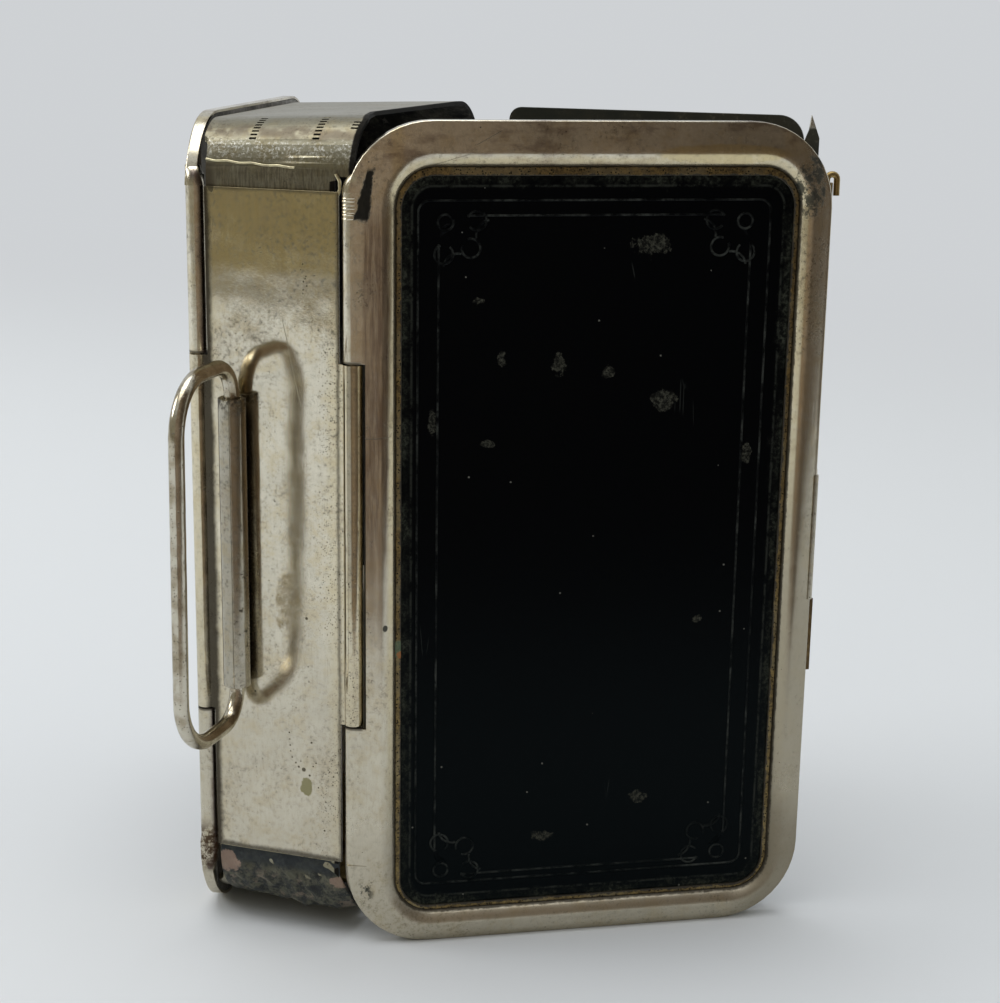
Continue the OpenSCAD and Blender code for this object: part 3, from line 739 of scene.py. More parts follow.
def ring_mesh(name, space, outer, inner, section, materials, places=None):
    """Closed band between two outlines; section(i, width) gives its loop of (distance in, height) points."""
    points, rows = [], len(outer)
    for i, (start, end) in enumerate(zip(outer, inner)):
        width = math.dist(start, end)
        loop = section(i, width)
        for inwards, height in loop:
            share = inwards / width
            u = start[0] + (end[0] - start[0]) * share
            z = start[1] + (end[1] - start[1]) * share
            points.append(space.at(height, u, z))
    size = len(loop)
    faces = []
    for i in range(rows):
        following = (i + 1) % rows
        for j in range(size):
            k = (j + 1) % size
            faces.append((i * size + j, i * size + k, following * size + k, following * size + j))
    return new_mesh(name, points, faces, materials, places=places)


def extruded(name, space, outline, low, high, materials, bevel=0.05):
    """Upright bar with a closed outline of (u, v) points, its edges slightly broken."""
    count = len(outline)
    points = [space.at(v, u, z) for z in (low, high) for u, v in outline]
    faces = [tuple(range(count)), tuple(range(2 * count - 1, count - 1, -1))]
    faces += [(i, (i + 1) % count, count + (i + 1) % count, count + i) for i in range(count)]
    piece = new_mesh(name, points, faces, materials)
    modifier = piece.modifiers.new("Broken edges", "BEVEL")
    modifier.width = bevel * MM
    modifier.segments = 2
    modifier.limit_method = "ANGLE"
    modifier.angle_limit = math.radians(50)
    return applied(piece, name)


def joined(name, pieces, angle=35.0):
    """One object of several closed meshes, with their materials kept."""
    work = bmesh.new()
    materials = []
    for piece in pieces:
        start = len(work.faces)
        work.from_mesh(piece.data)
        work.faces.ensure_lookup_table()
        places = []
        for material in piece.data.materials:
            if material not in materials:
                materials.append(material)
            places.append(materials.index(material))
        for face in work.faces[start:]:
            face.material_index = places[face.material_index]
        bpy.data.objects.remove(piece)
    mesh = bpy.data.meshes.new(name)
    work.to_mesh(mesh)
    work.free()
    for material in materials:
        mesh.materials.append(material)
    mesh.polygons.foreach_set("use_smooth", [True] * len(mesh.polygons))
    mesh.set_sharp_from_angle(angle=math.radians(angle))
    made = bpy.data.objects.new(name, mesh)
    bpy.context.scene.collection.objects.link(made)
    return made


class NodeTree:
    """Geometry Nodes tree with named inputs, which ends in Realize Instances and Set Material."""

    def __init__(self, name, **inputs):
        self.tree = bpy.data.node_groups.new(name, "GeometryNodeTree")
        face = self.tree.interface
        face.new_socket("Geometry", in_out="INPUT", socket_type="NodeSocketGeometry")
        face.new_socket("Geometry", in_out="OUTPUT", socket_type="NodeSocketGeometry")
        for label, kind in inputs.items():
            face.new_socket(label.replace("_", " "), in_out="INPUT", socket_type="NodeSocket" + kind)
        face.new_socket("Material", in_out="INPUT", socket_type="NodeSocketMaterial")
        self.entry = self.tree.nodes.new("NodeGroupInput")

    def given(self, label):
        return self.entry.outputs[label]

    def node(self, kind, settings=None, **inputs):
        made = self.tree.nodes.new(kind)
        for name, value in (settings or {}).items():
            setattr(made, name, value)
        for name, value in inputs.items():
            socket = made.inputs[name.replace("_", " ")]
            if isinstance(value, bpy.types.NodeSocket):
                self.tree.links.new(value, socket)
            else:
                socket.default_value = value
        return made

    def end(self, geometry):
        real = self.node("GeometryNodeRealizeInstances", Geometry=geometry)
        painted = self.node("GeometryNodeSetMaterial", Geometry=real.outputs[0], Material=self.given("Material"))
        leave = self.tree.nodes.new("NodeGroupOutput")
        self.tree.links.new(painted.outputs[0], leave.inputs[0])
        return self.tree


def wire_tree():
    """Round wire along a line of edges, with closed ends and a slight unevenness."""
    t = NodeTree("Bent wire", Radius="Float", Sides="Int", Step="Float", Unevenness="Float", Seed="Float")
    line = t.node("GeometryNodeMeshToCurve", Mesh=t.given("Geometry"))
    spaced = t.node("GeometryNodeResampleCurve", {"mode": "LENGTH"}, Curve=line.outputs[0], Length=t.given("Step"))
    ring = t.node("GeometryNodeCurvePrimitiveCircle", Resolution=t.given("Sides"), Radius=t.given("Radius"))
    tube = t.node("GeometryNodeCurveToMesh", Curve=spaced.outputs[0], Fill_Caps=True)
    t.tree.links.new(ring.outputs[0], tube.inputs["Profile Curve"])
    place = t.node("GeometryNodeInputPosition")
    rough = t.node("ShaderNodeTexNoise", {"noise_dimensions": "4D"}, Vector=place.outputs[0], W=t.given("Seed"), Scale=420.0, Detail=2.0)
    middle = t.node("ShaderNodeVectorMath", {"operation": "SUBTRACT"})
    t.tree.links.new(rough.outputs["Color"], middle.inputs[0])
    middle.inputs[1].default_value = (0.5, 0.5, 0.5)
    sized = t.node("ShaderNodeVectorMath", {"operation": "SCALE"}, Scale=t.given("Unevenness"))
    t.tree.links.new(middle.outputs[0], sized.inputs[0])
    moved = t.node("GeometryNodeSetPosition", Geometry=tube.outputs[0], Offset=sized.outputs[0])
    return t.end(moved.outputs[0])


def crimp_tree():
    """Short arcs of wire, one above the other, as pliers leave them on a rolled edge."""
    sizes = dict.fromkeys(("Spacing", "Radius", "Thickness", "Start", "Sweep"), "Float")
    t = NodeTree("Crimps", Count="Int", Foot="Vector", Seed="Int", **sizes)
    step = t.node("ShaderNodeCombineXYZ", Z=t.given("Spacing"))
    spots = t.node("GeometryNodeMeshLine", Count=t.given("Count"), Start_Location=t.given("Foot"), Offset=step.outputs[0])
    arc = t.node("GeometryNodeCurveArc", Resolution=14, Radius=t.given("Radius"))
    t.tree.links.new(t.given("Start"), arc.inputs["Start Angle"])
    t.tree.links.new(t.given("Sweep"), arc.inputs["Sweep Angle"])
    ring = t.node("GeometryNodeCurvePrimitiveCircle", Resolution=8, Radius=t.given("Thickness"))
    ridge = t.node("GeometryNodeCurveToMesh", Curve=arc.outputs[0], Fill_Caps=True)
    t.tree.links.new(ring.outputs[0], ridge.inputs["Profile Curve"])
    lean = t.node("FunctionNodeRandomValue", {"data_type": "FLOAT_VECTOR"}, Seed=t.given("Seed"))
    lean.inputs[0].default_value = (-0.08, -0.08, -0.25)
    lean.inputs[1].default_value = (0.08, 0.08, 0.25)
    copies = t.node("GeometryNodeInstanceOnPoints", Points=spots.outputs[0], Instance=ridge.outputs[0])
    t.tree.links.new(lean.outputs[0], copies.inputs["Rotation"])
    return t.end(copies.outputs[0])


TREES = {}


def grown(tree, name, points, edges, material, angle=40.0, **values):
    """Object that a Geometry Nodes tree grows from a line of points, as a plain mesh."""
    if tree not in TREES:
        TREES[tree] = tree()
    mesh = bpy.data.meshes.new(name)
    mesh.from_pydata([tuple(p) for p in points], edges, [])
    source = bpy.data.objects.new(name, mesh)
    bpy.context.scene.collection.objects.link(source)
    modifier = source.modifiers.new("Growth", "NODES")
    modifier.node_group = TREES[tree]
    values["Material"] = material
    for socket in TREES[tree].interface.items_tree:
        if socket.in_out == "INPUT" and socket.name.replace(" ", "_") in values:
            modifier[socket.identifier] = values[socket.name.replace(" ", "_")]
    return applied(source, name, angle)


def wire(name, points, radius, material, closed=False, sides=16, step=0.5, uneven=0.0, seed=1.0):
    """Wire of a radius along points, in millimetres but for the points themselves."""
    count = len(points)
    edges = [(i, i + 1) for i in range(count - 1)]
    if closed:
        edges.append((count - 1, 0))
    return grown(
        wire_tree, name, points, edges, material,
        Radius=radius * MM, Sides=sides, Step=step * MM, Unevenness=uneven * MM, Seed=seed,
    )


def arc_points(centre, radius, start, end, steps=12):
    """Points of an arc in a plane, from one angle to another in degrees."""
    angles = [math.radians(start + (end - start) * k / steps) for k in range(steps + 1)]
    return [(centre[0] + radius * math.cos(a), centre[1] + radius * math.sin(a)) for a in angles]


def lathe(name, centre, profile, material, turns=48, uneven=0.0, angle=35.0):
    """Turned piece from a profile of (radius, height) points, closed on its axis."""
    rng = np.random.default_rng(7)
    phase = rng.uniform(0, 2 * math.pi, 3)
    points, faces = [], []
    for radius, height in profile:
        for k in range(turns):
            a = 2 * math.pi * k / turns
            wave = uneven * sum(math.sin((n + 2) * a + phase[n]) for n in range(3)) / 3
            points.append(CASE.at(centre[0] + radius * math.cos(a), centre[1] + radius * math.sin(a), height + wave))
    rows = len(profile)
    for i in range(rows - 1):
        for k in range(turns):
            n = (k + 1) % turns
            faces.append((i * turns + k, i * turns + n, (i + 1) * turns + n, (i + 1) * turns + k))
    faces.append(tuple(range(turns)))
    faces.append(tuple(range((rows - 1) * turns, rows * turns)))
    return new_mesh(name, points, faces, [material], angle)


# Outlines of a cover, each as its lowest and highest u and z
def cover_edge():
    return (COVER_LOW[1] + 0.2, 0.0), (COVER_HIGH[1], COVER_HIGH[2])


def rim_edge():
    low, high = cover_edge()
    return (low[0] + mm("rim_hinge"), low[1] + mm("rim_bottom")), (high[0] - mm("rim_free"), high[1] - mm("rim_top"))


def opening_edge():
    low, high = rim_edge()
    ledge = LEDGE_WIDTHS
    return (low[0] + ledge["hinge"], low[1] + ledge["bottom"]), (high[0] - ledge["free"], high[1] - ledge["top"])


LEDGE_WIDTHS = {"hinge": 0.75, "bottom": 0.6, "free": 0.65, "top": 1.1}
LIP = -0.3
LEDGE_TOP = 0.88
RIM_TOP = 2.12
EDGE_TOP = 1.3
SHEET = 0.35


def rim_section(outer):
    """Section of a cover's rim, whose crest lies further in beside the hinge."""

    def section(i, width):
        near_hinge = min(max((5 - outer[i][0]) / 4, 0), 1)
        crest = width * (bpy.context.scene.lantern_shape.crest + 0.06 * near_hinge)
        edge_top = EDGE_TOP - 0.15 * near_hinge
        top = []
        for k in range(9):
            t = 1 - k / 8
            top.append((0.28 + (crest - 0.28) * (1 - t), RIM_TOP - (RIM_TOP - edge_top) * t ** (1.3 - 0.4 * near_hinge)))
        for k in range(1, 8):
            t = k / 8
            top.append((crest + (width - crest) * t, RIM_TOP - (RIM_TOP - LEDGE_TOP - 0.22) * t**1.7))
        top.append((width - 0.06, LEDGE_TOP + 0.16))
        top.append((width, LEDGE_TOP + 0.04))
        under = [(min(max(d, SHEET), width - SHEET), max(h - SHEET, LIP + 0.1)) for d, h in reversed(top)]
        edge = [(0.25 - 0.25 * math.cos(a), edge_top - 0.25 + 0.25 * math.sin(a)) for a in (0.0, 0.4, 0.8, 1.2)]
        wall = [(SHEET, LIP), (0.04, LIP), (0, LIP + 0.06), *edge]
        return wall + top + [(width, LEDGE_TOP - 0.1)] + under

    return section


def cut_away(piece, space, low, high, name):
    """Takes a box of a space out of a piece."""
    corners = [space.at(v, u, z) for v in (low[0], high[0]) for u in (low[1], high[1]) for z in (low[2], high[2])]
    faces = [(0, 1, 3, 2), (4, 6, 7, 5), (0, 4, 5, 1), (2, 3, 7, 6), (0, 2, 6, 4), (1, 5, 7, 3)]
    tool = new_mesh("cutter", corners, faces, [])
    modifier = piece.modifiers.new("Cut", "BOOLEAN")
    modifier.operation = "DIFFERENCE"
    modifier.solver = "EXACT"
    modifier.object = tool
    piece = applied(piece, name)
    bpy.data.objects.remove(tool)
    return piece


def knuckle_outline():
    """Sheet that runs from the rim's crown down and round the hinge axis, as (u, v) points."""
    middle, half = 0.93, 0.25
    path = [(1.62, 1.4), (0.9, 1.21), (0.3, 1.045)]
    path += arc_points((0, 0), middle, 105, 395, 34)
    outer, inner = [], []
    for i, (u, v) in enumerate(path):
        before, after = path[max(i - 1, 0)], path[min(i + 1, len(path) - 1)]
        du, dv = after[0] - before[0], after[1] - before[1]
        size = math.hypot(du, dv)
        outer.append((u + dv / size * half, v - du / size * half))
        inner.append((u - dv / size * half, v + du / size * half))
    return outer + inner[::-1]


def knuckle_spans():
    """Heights between which a cover's own two knuckles run."""
    low, high = COVER_KNUCKLES
    return (low, MIDDLE[0] - 0.2), (MIDDLE[1] + 0.2, high)


MIDDLE = (30.0, 76.0)
COVER_KNUCKLES = (11.15, 96.55)


def corner_edge(z):
    """Place of a cover's round outline beside the hinge at a height."""
    (low_u, low_z), (_, high_z) = cover_edge()
    radius = mm("corner")
    rise = max(z - (high_z - radius), low_z + radius - z, 0)
    return low_u + radius - math.sqrt(radius**2 - rise**2)


def cheek(name, space, start, end, material):
    """Sheet that carries a knuckle on into the round corner of its rim."""
    rings, points, faces = 8, [], []
    for k in range(rings + 1):
        t = k / rings
        z = start + (end - start) * t
        blend = t**1.6
        left = (1 - blend) * -1.17 + blend * (corner_edge(z) + 0.12)
        top = 1.17 * (1 - blend) + (EDGE_TOP - 0.15) * blend
        low = -1.17 * (1 - blend) + LIP * blend
        loop = [(1.5, 1.6), (0.5, 1.33), (0.0, 1.2)]
        for angle in range(105, 271, 15):
            a = math.radians(angle)
            reach = top if a < math.pi else -low
            loop.append((left * -math.cos(a), reach * math.sin(a)))
        loop += [(0.9, max(low, -0.9)), (1.5, LIP)]
        points += [space.at(v, u, z) for u, v in loop]
    size = len(loop)
    for k in range(rings):
        for j in range(size):
            n = (j + 1) % size
            faces.append((k * size + j, k * size + n, (k + 1) * size + n, (k + 1) * size + j))
    faces += [tuple(range(size)), tuple(range(rings * size, (rings + 1) * size))]
    return new_mesh(name, points, faces, [material])


class LANTERN_OT_cover_frames(bpy.types.Operator):
    """Makes the nickelled rims of both covers, with their rolled knuckles and ledges"""

    bl_idname = "lantern.cover_frames"
    bl_label = "Cover frames"

    def execute(self, context):
        low, high = cover_edge()
        rim_low, rim_high = rim_edge()
        outer = round_rect(low, high, mm("corner"))
        inner = round_rect(rim_low, rim_high, 4.8)
        under_rim = round_rect((rim_low[0] - 0.5, rim_low[1] - 0.5), (rim_high[0] + 0.5, rim_high[1] + 0.5), 5.3)
        opening = round_rect(*opening_edge(), 3.8)
        for side, space, body in COVERS:
            stains_and_shades = (rim_tarnish_and_reflection, foot_haze, rim_crease_shade)
            stains_and_shades += (cover_blots, rim_slot_shade) if side == "front" else (knuckle_reflection_stripe, foot_rust)
            nickel = worn_nickel(f"{side} cover nickel", space, rough=0.17, golden=cover_gold, stains_and_shades=stains_and_shades)
            rim = ring_mesh(f"{side}_rim", space, outer, inner, rim_section(outer), [nickel])
            box_low = (LIP - 1, low[0] - 1, COVER_KNUCKLES[0])
            box_high = (RIM_TOP + 1, 1.35, COVER_KNUCKLES[1])
            rim = cut_away(rim, space, box_low, box_high, f"{side}_rim")
            pieces = [rim]
            for start, end in knuckle_spans():
                pieces.append(extruded(f"{side}_knuckle", space, knuckle_outline(), start, end, [nickel]))
            closing = [(1.36, LIP), (1.75, LIP), (1.75, 1.55), (1.36, 1.45)]
            pieces.append(extruded(f"{side}_web", space, closing, *COVER_KNUCKLES, [nickel]))
            for start, end in ((COVER_KNUCKLES[1] - 0.02, 98.9), (COVER_KNUCKLES[0] + 0.02, 6.6)):
                pieces.append(cheek(f"{side}_cheek", space, start, end, nickel))
            if side == "front":
                pieces.append(self.pinches(space, nickel))
            frame_piece = joined(f"{side}_cover_frame_shell", pieces)
            hold(frame_piece, body, "nickel", f"{side}_cover_frame")
            brass = ledge_brass(f"{side} ledge brass", space)

            def ledge_section(i, width):
                return [(0, 0.56), (0, LEDGE_TOP), (width - 0.08, LEDGE_TOP), (width, LEDGE_TOP - 0.07), (width, 0.56)]

            ledge = ring_mesh(f"{side}_cover_ledge", space, under_rim, opening, ledge_section, [brass])
            hold(ledge, body, "brass")
        return {"FINISHED"}

    def pinches(self, space, nickel):
        """Crimps round the end of the upper knuckle"""
        count = int(bpy.context.scene.lantern_shape.crimps)
        foot = space.at(0, 0, 93.5)
        return grown(
            crimp_tree, "pinches", [foot], [], nickel, Count=count, Foot=foot, Seed=3, Spacing=0.4 * MM,
            Radius=1.17 * MM, Thickness=0.12 * MM, Start=math.radians(-150), Sweep=math.radians(115),
        )


def cover_gold(p):
    """Where the cover's nickel has gone golden: on the inner slope of its rim, and in one patch."""
    inner = p.band(p.inset(*rim_edge(), 4.8), -1.1, -0.1, 0.35)
    patch = p.spot(p.u, (44.8, 101.1), (8.4, 1.2), 0.35, 0.4)
    slope = p.all_of(inner, p.step(p.z, 8, 30), p.scale(p.noise(0.2, detail=4), 0.3, 1.1), 0.7)
    beside = p.all_of(p.band(p.u, 4.5, 5.9, 0.4), p.step(p.z, 30, 75), 0.45)
    return p.any_of(slope, beside, p.all_of(patch, 0.75))


def rim_tarnish_and_reflection(p):
    """Painted dark reflection: a purple-brown band on the rim beside the hinge, where its crown mirrors the dark room;
    and brown clouds of tarnish along its top.
    """
    streaks = p.noise(1.0, detail=6, roughness=0.7, at=p.stretched(v=1.6, u=1.6, z=0.1))
    wavy = p.scale(p.noise(0.16, detail=4), -0.5, 0.5)
    beside = p.all_of(p.band(p.math("ADD", p.u, wavy), 1.15, 4.1, 0.3), p.step(p.z, 34, 66), p.step(p.z, 97, 91))
    beside = p.all_of(beside, p.scale(p.step(streaks, 0.36, 0.62), 0.2, 0.66))
    clouds = p.noise(0.16, detail=6, roughness=0.7, at=p.stretched(u=0.6, z=1.6))
    above = p.all_of(p.step(p.z, 98, 101), p.step(clouds, 0.46, 0.62), 0.5)
    return p.any_of(beside, above), (0.13, 0.075, 0.06), -0.03


def foot_haze(p):
    """Dull haze on the lower part of a cover, deeper along its free edge."""
    wavy = p.scale(p.noise(0.15, detail=5, roughness=0.7), -8, 8)
    height = p.math("ADD", p.z, wavy)
    low = p.scale(p.step(height, 62, 14), 0, 0.4)
    free = p.all_of(p.step(p.u, 44, 56), p.step(height, 80, 40), 0.85)
    return p.any_of(low, free), (0.33, 0.295, 0.22), p.scale(p.step(height, 24, 8), 0.0, 0.5)


def foot_rust(p):
    """Rust where the back cover's lower knuckle ends."""
    blot = p.step(p.noise(0.9, detail=7, roughness=0.78), 0.42, 0.52)
    return p.all_of(p.step(p.u, 1.6, 0.6), p.band(p.z, 7.5, 13.5, 1.5), blot, 0.9), (0.09, 0.05, 0.025), 0.4


def rim_crease_shade(p):
    """Painted shade along the foot of the rim's inner slope and in the gaps where the cover's knuckles meet the middle
    knuckle.
    """
    inset = p.inset(*rim_edge(), 4.8)
    wavy = p.scale(p.noise(1.1, detail=6, roughness=0.75), -0.5, 0.5)
    foot = p.step(p.math("ADD", inset, p.all_of(wavy, 0.5)), -0.3, -0.08)
    gaps = p.any_of(*[p.band(p.z, z - 0.25, z + 0.25, 0.15) for z in (MIDDLE[0] - 0.2, MIDDLE[1] + 0.2)])
    gaps = p.all_of(gaps, p.step(p.u, 1.2, 0.6))
    return p.all_of(p.any_of(foot, gaps), 0.75), (0.03, 0.025, 0.02), 0.3


def cover_blots(p):
    """Dark blue-green stain near the rim's top free corner, a pit and a few cuts."""
    blot = p.noise(0.9, detail=7, roughness=0.78)
    corner = p.all_of(p.spot(p.u, (56.2, 97.0), (2.0, 3.6), 0.6, 0.5), p.step(blot, 0.42, 0.54))
    foot = p.all_of(p.band(p.u, 0.5, 2.0, 0.6), p.band(p.z, 5.5, 9.5, 1.0), p.step(blot, 0.52, 0.6))
    lone = p.spot(p.u, (3.71, 43.1), (0.32, 0.4), 0.5, 2.0)
    cuts = p.any_of(
        p.mark(p.u, (14.5, 102.2), (17.5, 103.8), 0.1),
        p.mark(p.u, (8.0, 99.4), (14.0, 101.2), 0.08),
        p.mark(p.u, (1.0, 67.1), (4.2, 67.3), 0.12),
    )
    return p.all_of(p.any_of(corner, foot, lone, p.all_of(cuts, 0.6)), 0.85), (0.035, 0.045, 0.042), 0.35


def rim_slot_shade(p):
    """Painted shade: a black slot that slants down the rim above the upper knuckle and widens as it goes, darkening
    the hollow where the knuckle's roll meets the crown.
    """
    wavy = p.scale(p.noise(0.9, detail=7, roughness=0.75), -0.55, 0.55)
    aside = p.math("SUBTRACT", p.math("ADD", p.u, wavy), p.scale(p.z, 1.0 - 94 * 0.2, 1.2 - 94 * 0.2))
    half = p.math("SUBTRACT", 0.85 + 94 * 0.08, p.math("MULTIPLY", p.z, 0.08))
    slot = p.step(p.math("SUBTRACT", p.math("ABSOLUTE", aside), half), 0.1, -0.15)
    ends = p.band(p.math("ADD", p.z, p.math("MULTIPLY", wavy, 1.5)), 93.3, 99.3, 0.3)
    return p.all_of(slot, ends, 0.96), (0.008, 0.009, 0.01), 0.4


def knuckle_reflection_stripe(p):
    """Painted dark reflection: a purple-brown stripe down the back cover's knuckles."""
    wavy = p.math("ADD", p.u, p.scale(p.noise(0.3, detail=4), -0.3, 0.3))
    stripe = p.all_of(p.band(wavy, -0.95, -0.35, 0.18), p.step(p.v, 0.6, 0.2))
    return p.all_of(stripe, 0.8), (0.09, 0.06, 0.055), 0.1


# Embossed lines of a panel, each as its lowest and highest u and z
OUTER_LINE = ((7.8, 7.7), (51.5, 95.6))
INNER_LINE = ((10.3, 8.7), (49.1, 93.8))


class LANTERN_OT_cover_panels(bpy.types.Operator):
    """Makes the black panels of both covers, with their embossed border and corner ornaments"""

    bl_idname = "lantern.cover_panels"
    bl_label = "Cover panels"

    def execute(self, context):
        ridge = mm("ridge")
        line_r = (0.4**2 / 4 + ridge**2) / (2 * ridge)
        depth = PANEL_HIGH[0] - line_r
        for side, space, body in COVERS:
            black = black_japan(f"{side} japan", space)

            def pressed_flat(co):
                proud = (co - space.origin).dot(space.v) / MM - (PANEL_HIGH[0] - ridge)
                return co - space.v * max(proud * 0.97, 0) * MM

            name = f"{side}_cover_sheet"
            smooth_copy(f"{side}_cover_panel", name, black, "black_japan", reshape=pressed_flat)
            lines = []
            for path, closed in self.paths():
                outline = [space.at(depth, u, z) for u, z in path]
                lines.append(wire(f"{side}_line", outline, line_r, black, closed=closed, sides=12, step=0.3, uneven=0.03))
            hold(joined(f"{side}_cover_embossing", lines), body, "black_japan")
        return {"FINISHED"}

    def paths(self):
        """Lines of the border and the corner ornaments, and whether each one closes"""
        (low_u, low_z), (high_u, high_z) = INNER_LINE
        made = [(round_rect(*OUTER_LINE, 1.4), True)]
        stop = 3.4
        for u in (low_u, high_u):
            made.append(([(u, low_z + stop), (u, high_z - stop)], False))
        for z in (low_z, high_z):
            made.append(([(low_u + stop, z), (high_u - stop, z)], False))
        for u, inwards_u in ((low_u, 1), (high_u, -1)):
            for z, inwards_z in ((low_z, 1), (high_z, -1)):
                made += [([(u + du * inwards_u, z + dz * inwards_z) for du, dz in path], closed)
                         for path, closed in self.ornament()]
        return made

    def ornament(self):
        """A ring in the corner and three loops inside it, as (u, z) points inwards from the corner"""
        made = [(arc_points((0.8, 0.8), 0.95, 0, 345, 20), True)]
        loops = (((4.6, 0.6), 200, 500), ((0.6, 4.6), -50, 250), ((3.9, 3.9), -110, 200))
        for centre, start, end in loops:
            made.append((arc_points(centre, 1.15, start, end, 22), False))
        made.append((arc_points((6.4, 2.4), 1.9, 170, 260, 12), False))
        made.append((arc_points((2.4, 6.4), 1.9, 280, 190, 12), False))
        return made


class LANTERN_OT_linings(bpy.types.Operator):
    """Finishes the tin linings inside both covers"""

    bl_idname = "lantern.linings"
    bl_label = "Cover linings"

    def execute(self, context):
        for side, space, _ in COVERS:
            tin = sooty_tin(f"{side} lining tin", space, soot=0.48)
            smooth_copy(f"{side}_cover_lining", f"{side}_cover_tin", tin, "sooty_tin", bevel=0.05)
        return {"FINISHED"}


def roof_reflection_line(p):
    """Painted dark reflection: a dull brown line where the roof turns into the bend."""
    wavy = p.math("ADD", p.z, p.scale(p.noise(0.3, detail=4), -0.9, 0.9))
    line = p.all_of(p.band(wavy, 102.5, 103.6, 0.4), p.step(p.noise(0.5, detail=4), 0.34, 0.52), 0.65)
    return line, (0.09, 0.068, 0.05), 0.1


def spine_strip(p):
    """Brown streaked strip between the hinge plate and the solder line, black at its rear end."""
    streaks = p.noise(1.0, detail=5, roughness=0.75, at=p.stretched(v=4, u=4, z=0.4))
    strip = p.all_of(p.band(p.z, 96.2, 99.2, 0.3), p.scale(p.step(streaks, 0.4, 0.62), 0.3, 0.85))
    ends = p.all_of(p.step(p.v, -6.4, -8.2), p.band(p.z, 95.8, 99.4, 0.3))
    spine = p.step(p.u, 20, 15)
    return p.all_of(p.any_of(strip, p.all_of(ends, 0.95)), spine), (0.085, 0.07, 0.048), 0.15


def bend_highlight(p):
    """Painted highlight: a bright speckled band along the upper bend, where the overhead lamp glints."""
    wavy = p.math("ADD", p.z, p.scale(p.noise(0.2, detail=3), -0.6, 0.6))
    glints = p.step(p.noise(2.6, detail=5, roughness=0.75), 0.5, 0.62)
    return p.all_of(p.band(wavy, 99.9, 101.9, 0.6), glints, p.step(p.u, 20, 15), 0.8), (0.85, 0.84, 0.76), -0.1


def lip_edge(p):
    """Black front edge of the case, which leans out to the lip round the upper bend."""
    lean = p.node("ShaderNodeMapRange", Value=p.u)
    lip = BAND_HIGH[0] - BAND_FRONT
    for socket, number in zip(list(lean.inputs)[1:5], (4.25, 12.75, lip, 0.0)):
        socket.default_value = number
    upper = p.step(p.z, 97.6, 98.2)
    edge = p.math("SUBTRACT", p.v, p.all_of(lean.outputs[0], upper))
    edge = p.math("ADD", edge, p.scale(p.noise(0.6, detail=5, roughness=0.7), -0.2, 0.2))
    return p.all_of(p.step(edge, BAND_FRONT - 0.75, BAND_FRONT - 0.5), 0.97), (0.012, 0.011, 0.01), 0.4


class LANTERN_OT_case_band(bpy.types.Operator):
    """Makes the bent sheet of the case, nickelled outside and sooty inside"""

    bl_idname = "lantern.case_band"
    bl_label = "Case band"

    def execute(self, context):
        roof = tuple(finish().roof)
        stains_and_shades = (roof_reflection_line, spine_strip, bend_highlight, lip_edge)
        outside = worn_nickel("case nickel", CASE, clean=roof, rough=0.3, wear=1.2, stains_and_shades=stains_and_shades)
        inside = sooty_tin("case soot", CASE, soot=0.62)
        piece = smooth_copy("case_band", "case_shell", outside, "roof_nickel", reshape=self.settled)
        piece.data.materials.append(inside)
        middle = CASE.at(0, (BAND_LOW[1] + BAND_HIGH[1]) / 2, (BAND_LOW[2] + BAND_HIGH[2]) / 2)
        for face in piece.data.polygons:
            inwards = middle - face.center
            inwards.x = 0
            facing = face.normal.dot(inwards.normalized())
            if facing > 0.25 and abs(face.normal.x) < 0.5:
                face.material_index = 1
        return {"FINISHED"}

    def settled(self, co):
        """The roof a little lower and further in towards its rear edge"""
        x, z = (co - CASE.origin).x / MM, co.z / MM
        sunk = 0.9 * min(max((BAND_FRONT - x) / 18, 0), 1) * min(max((z - 98.2) / 7, 0), 1)
        drawn_in = 0.35 if x < -9 and z > 96 else 0.0
        return co + Vector((drawn_in, 0, -sunk)) * MM


def plate_gold(p):
    """Golden upper part of the hinge plate, streaked by polishing, and its golden edges beside the knuckles."""
    streaks = p.noise(1.0, detail=5, roughness=0.7, at=p.stretched(v=2.2, u=2.2, z=0.12))
    upper = p.step(p.math("ADD", p.z, p.scale(p.noise(0.25, detail=5, roughness=0.7), -1.5, 1.5)), 85.6, 87.6)
    sides = p.step(p.math("ABSOLUTE", p.v), 6.4, 8.3)
    return p.any_of(p.all_of(upper, p.scale(streaks, 0.45, 1.15)), p.all_of(sides, p.noise(0.3), 0.6))


def plate_shade(p):
    """Painted shade: a dark band beside the back knuckle, a painted shadow of the sleeve beside it, a dark line where
    the plate meets the front knuckle and a dark stripe on that knuckle, and darkened strips along the plate's top and
    bottom edges.
    """
    wavy = p.scale(p.noise(0.35, detail=6, roughness=0.72), -1.1, 1.1)
    rear = p.band(p.math("ADD", p.v, p.all_of(wavy, 0.4)), -9.6, -8.0, 0.4)
    front = p.all_of(p.band(p.math("ADD", p.v, p.all_of(wavy, 0.3)), 8.4, 8.8, 0.25), 0.7)
    beside = p.all_of(p.band(p.math("ADD", p.v, p.all_of(wavy, 0.5)), -4.4, -2.7, 0.35), p.band(p.z, 34.5, 70, 2.0), 0.93)
    stripe = p.all_of(p.band(p.v, 9.9, 10.6, 0.3), p.step(p.z, 38, 55), 0.5)
    low, high = PLATE_LOW[2], PLATE_HIGH[2]
    upper = p.all_of(p.step(p.math("ADD", p.z, p.all_of(wavy, 0.25)), high - 0.5, high - 0.1), 0.6)
    lower = p.all_of(p.step(p.math("ADD", p.z, p.all_of(wavy, 0.4)), low + 0.9, low + 0.3), 0.8)
    return p.any_of(p.all_of(rear, 0.95), front, beside, stripe, upper, lower), (0.05, 0.042, 0.03), 0.15


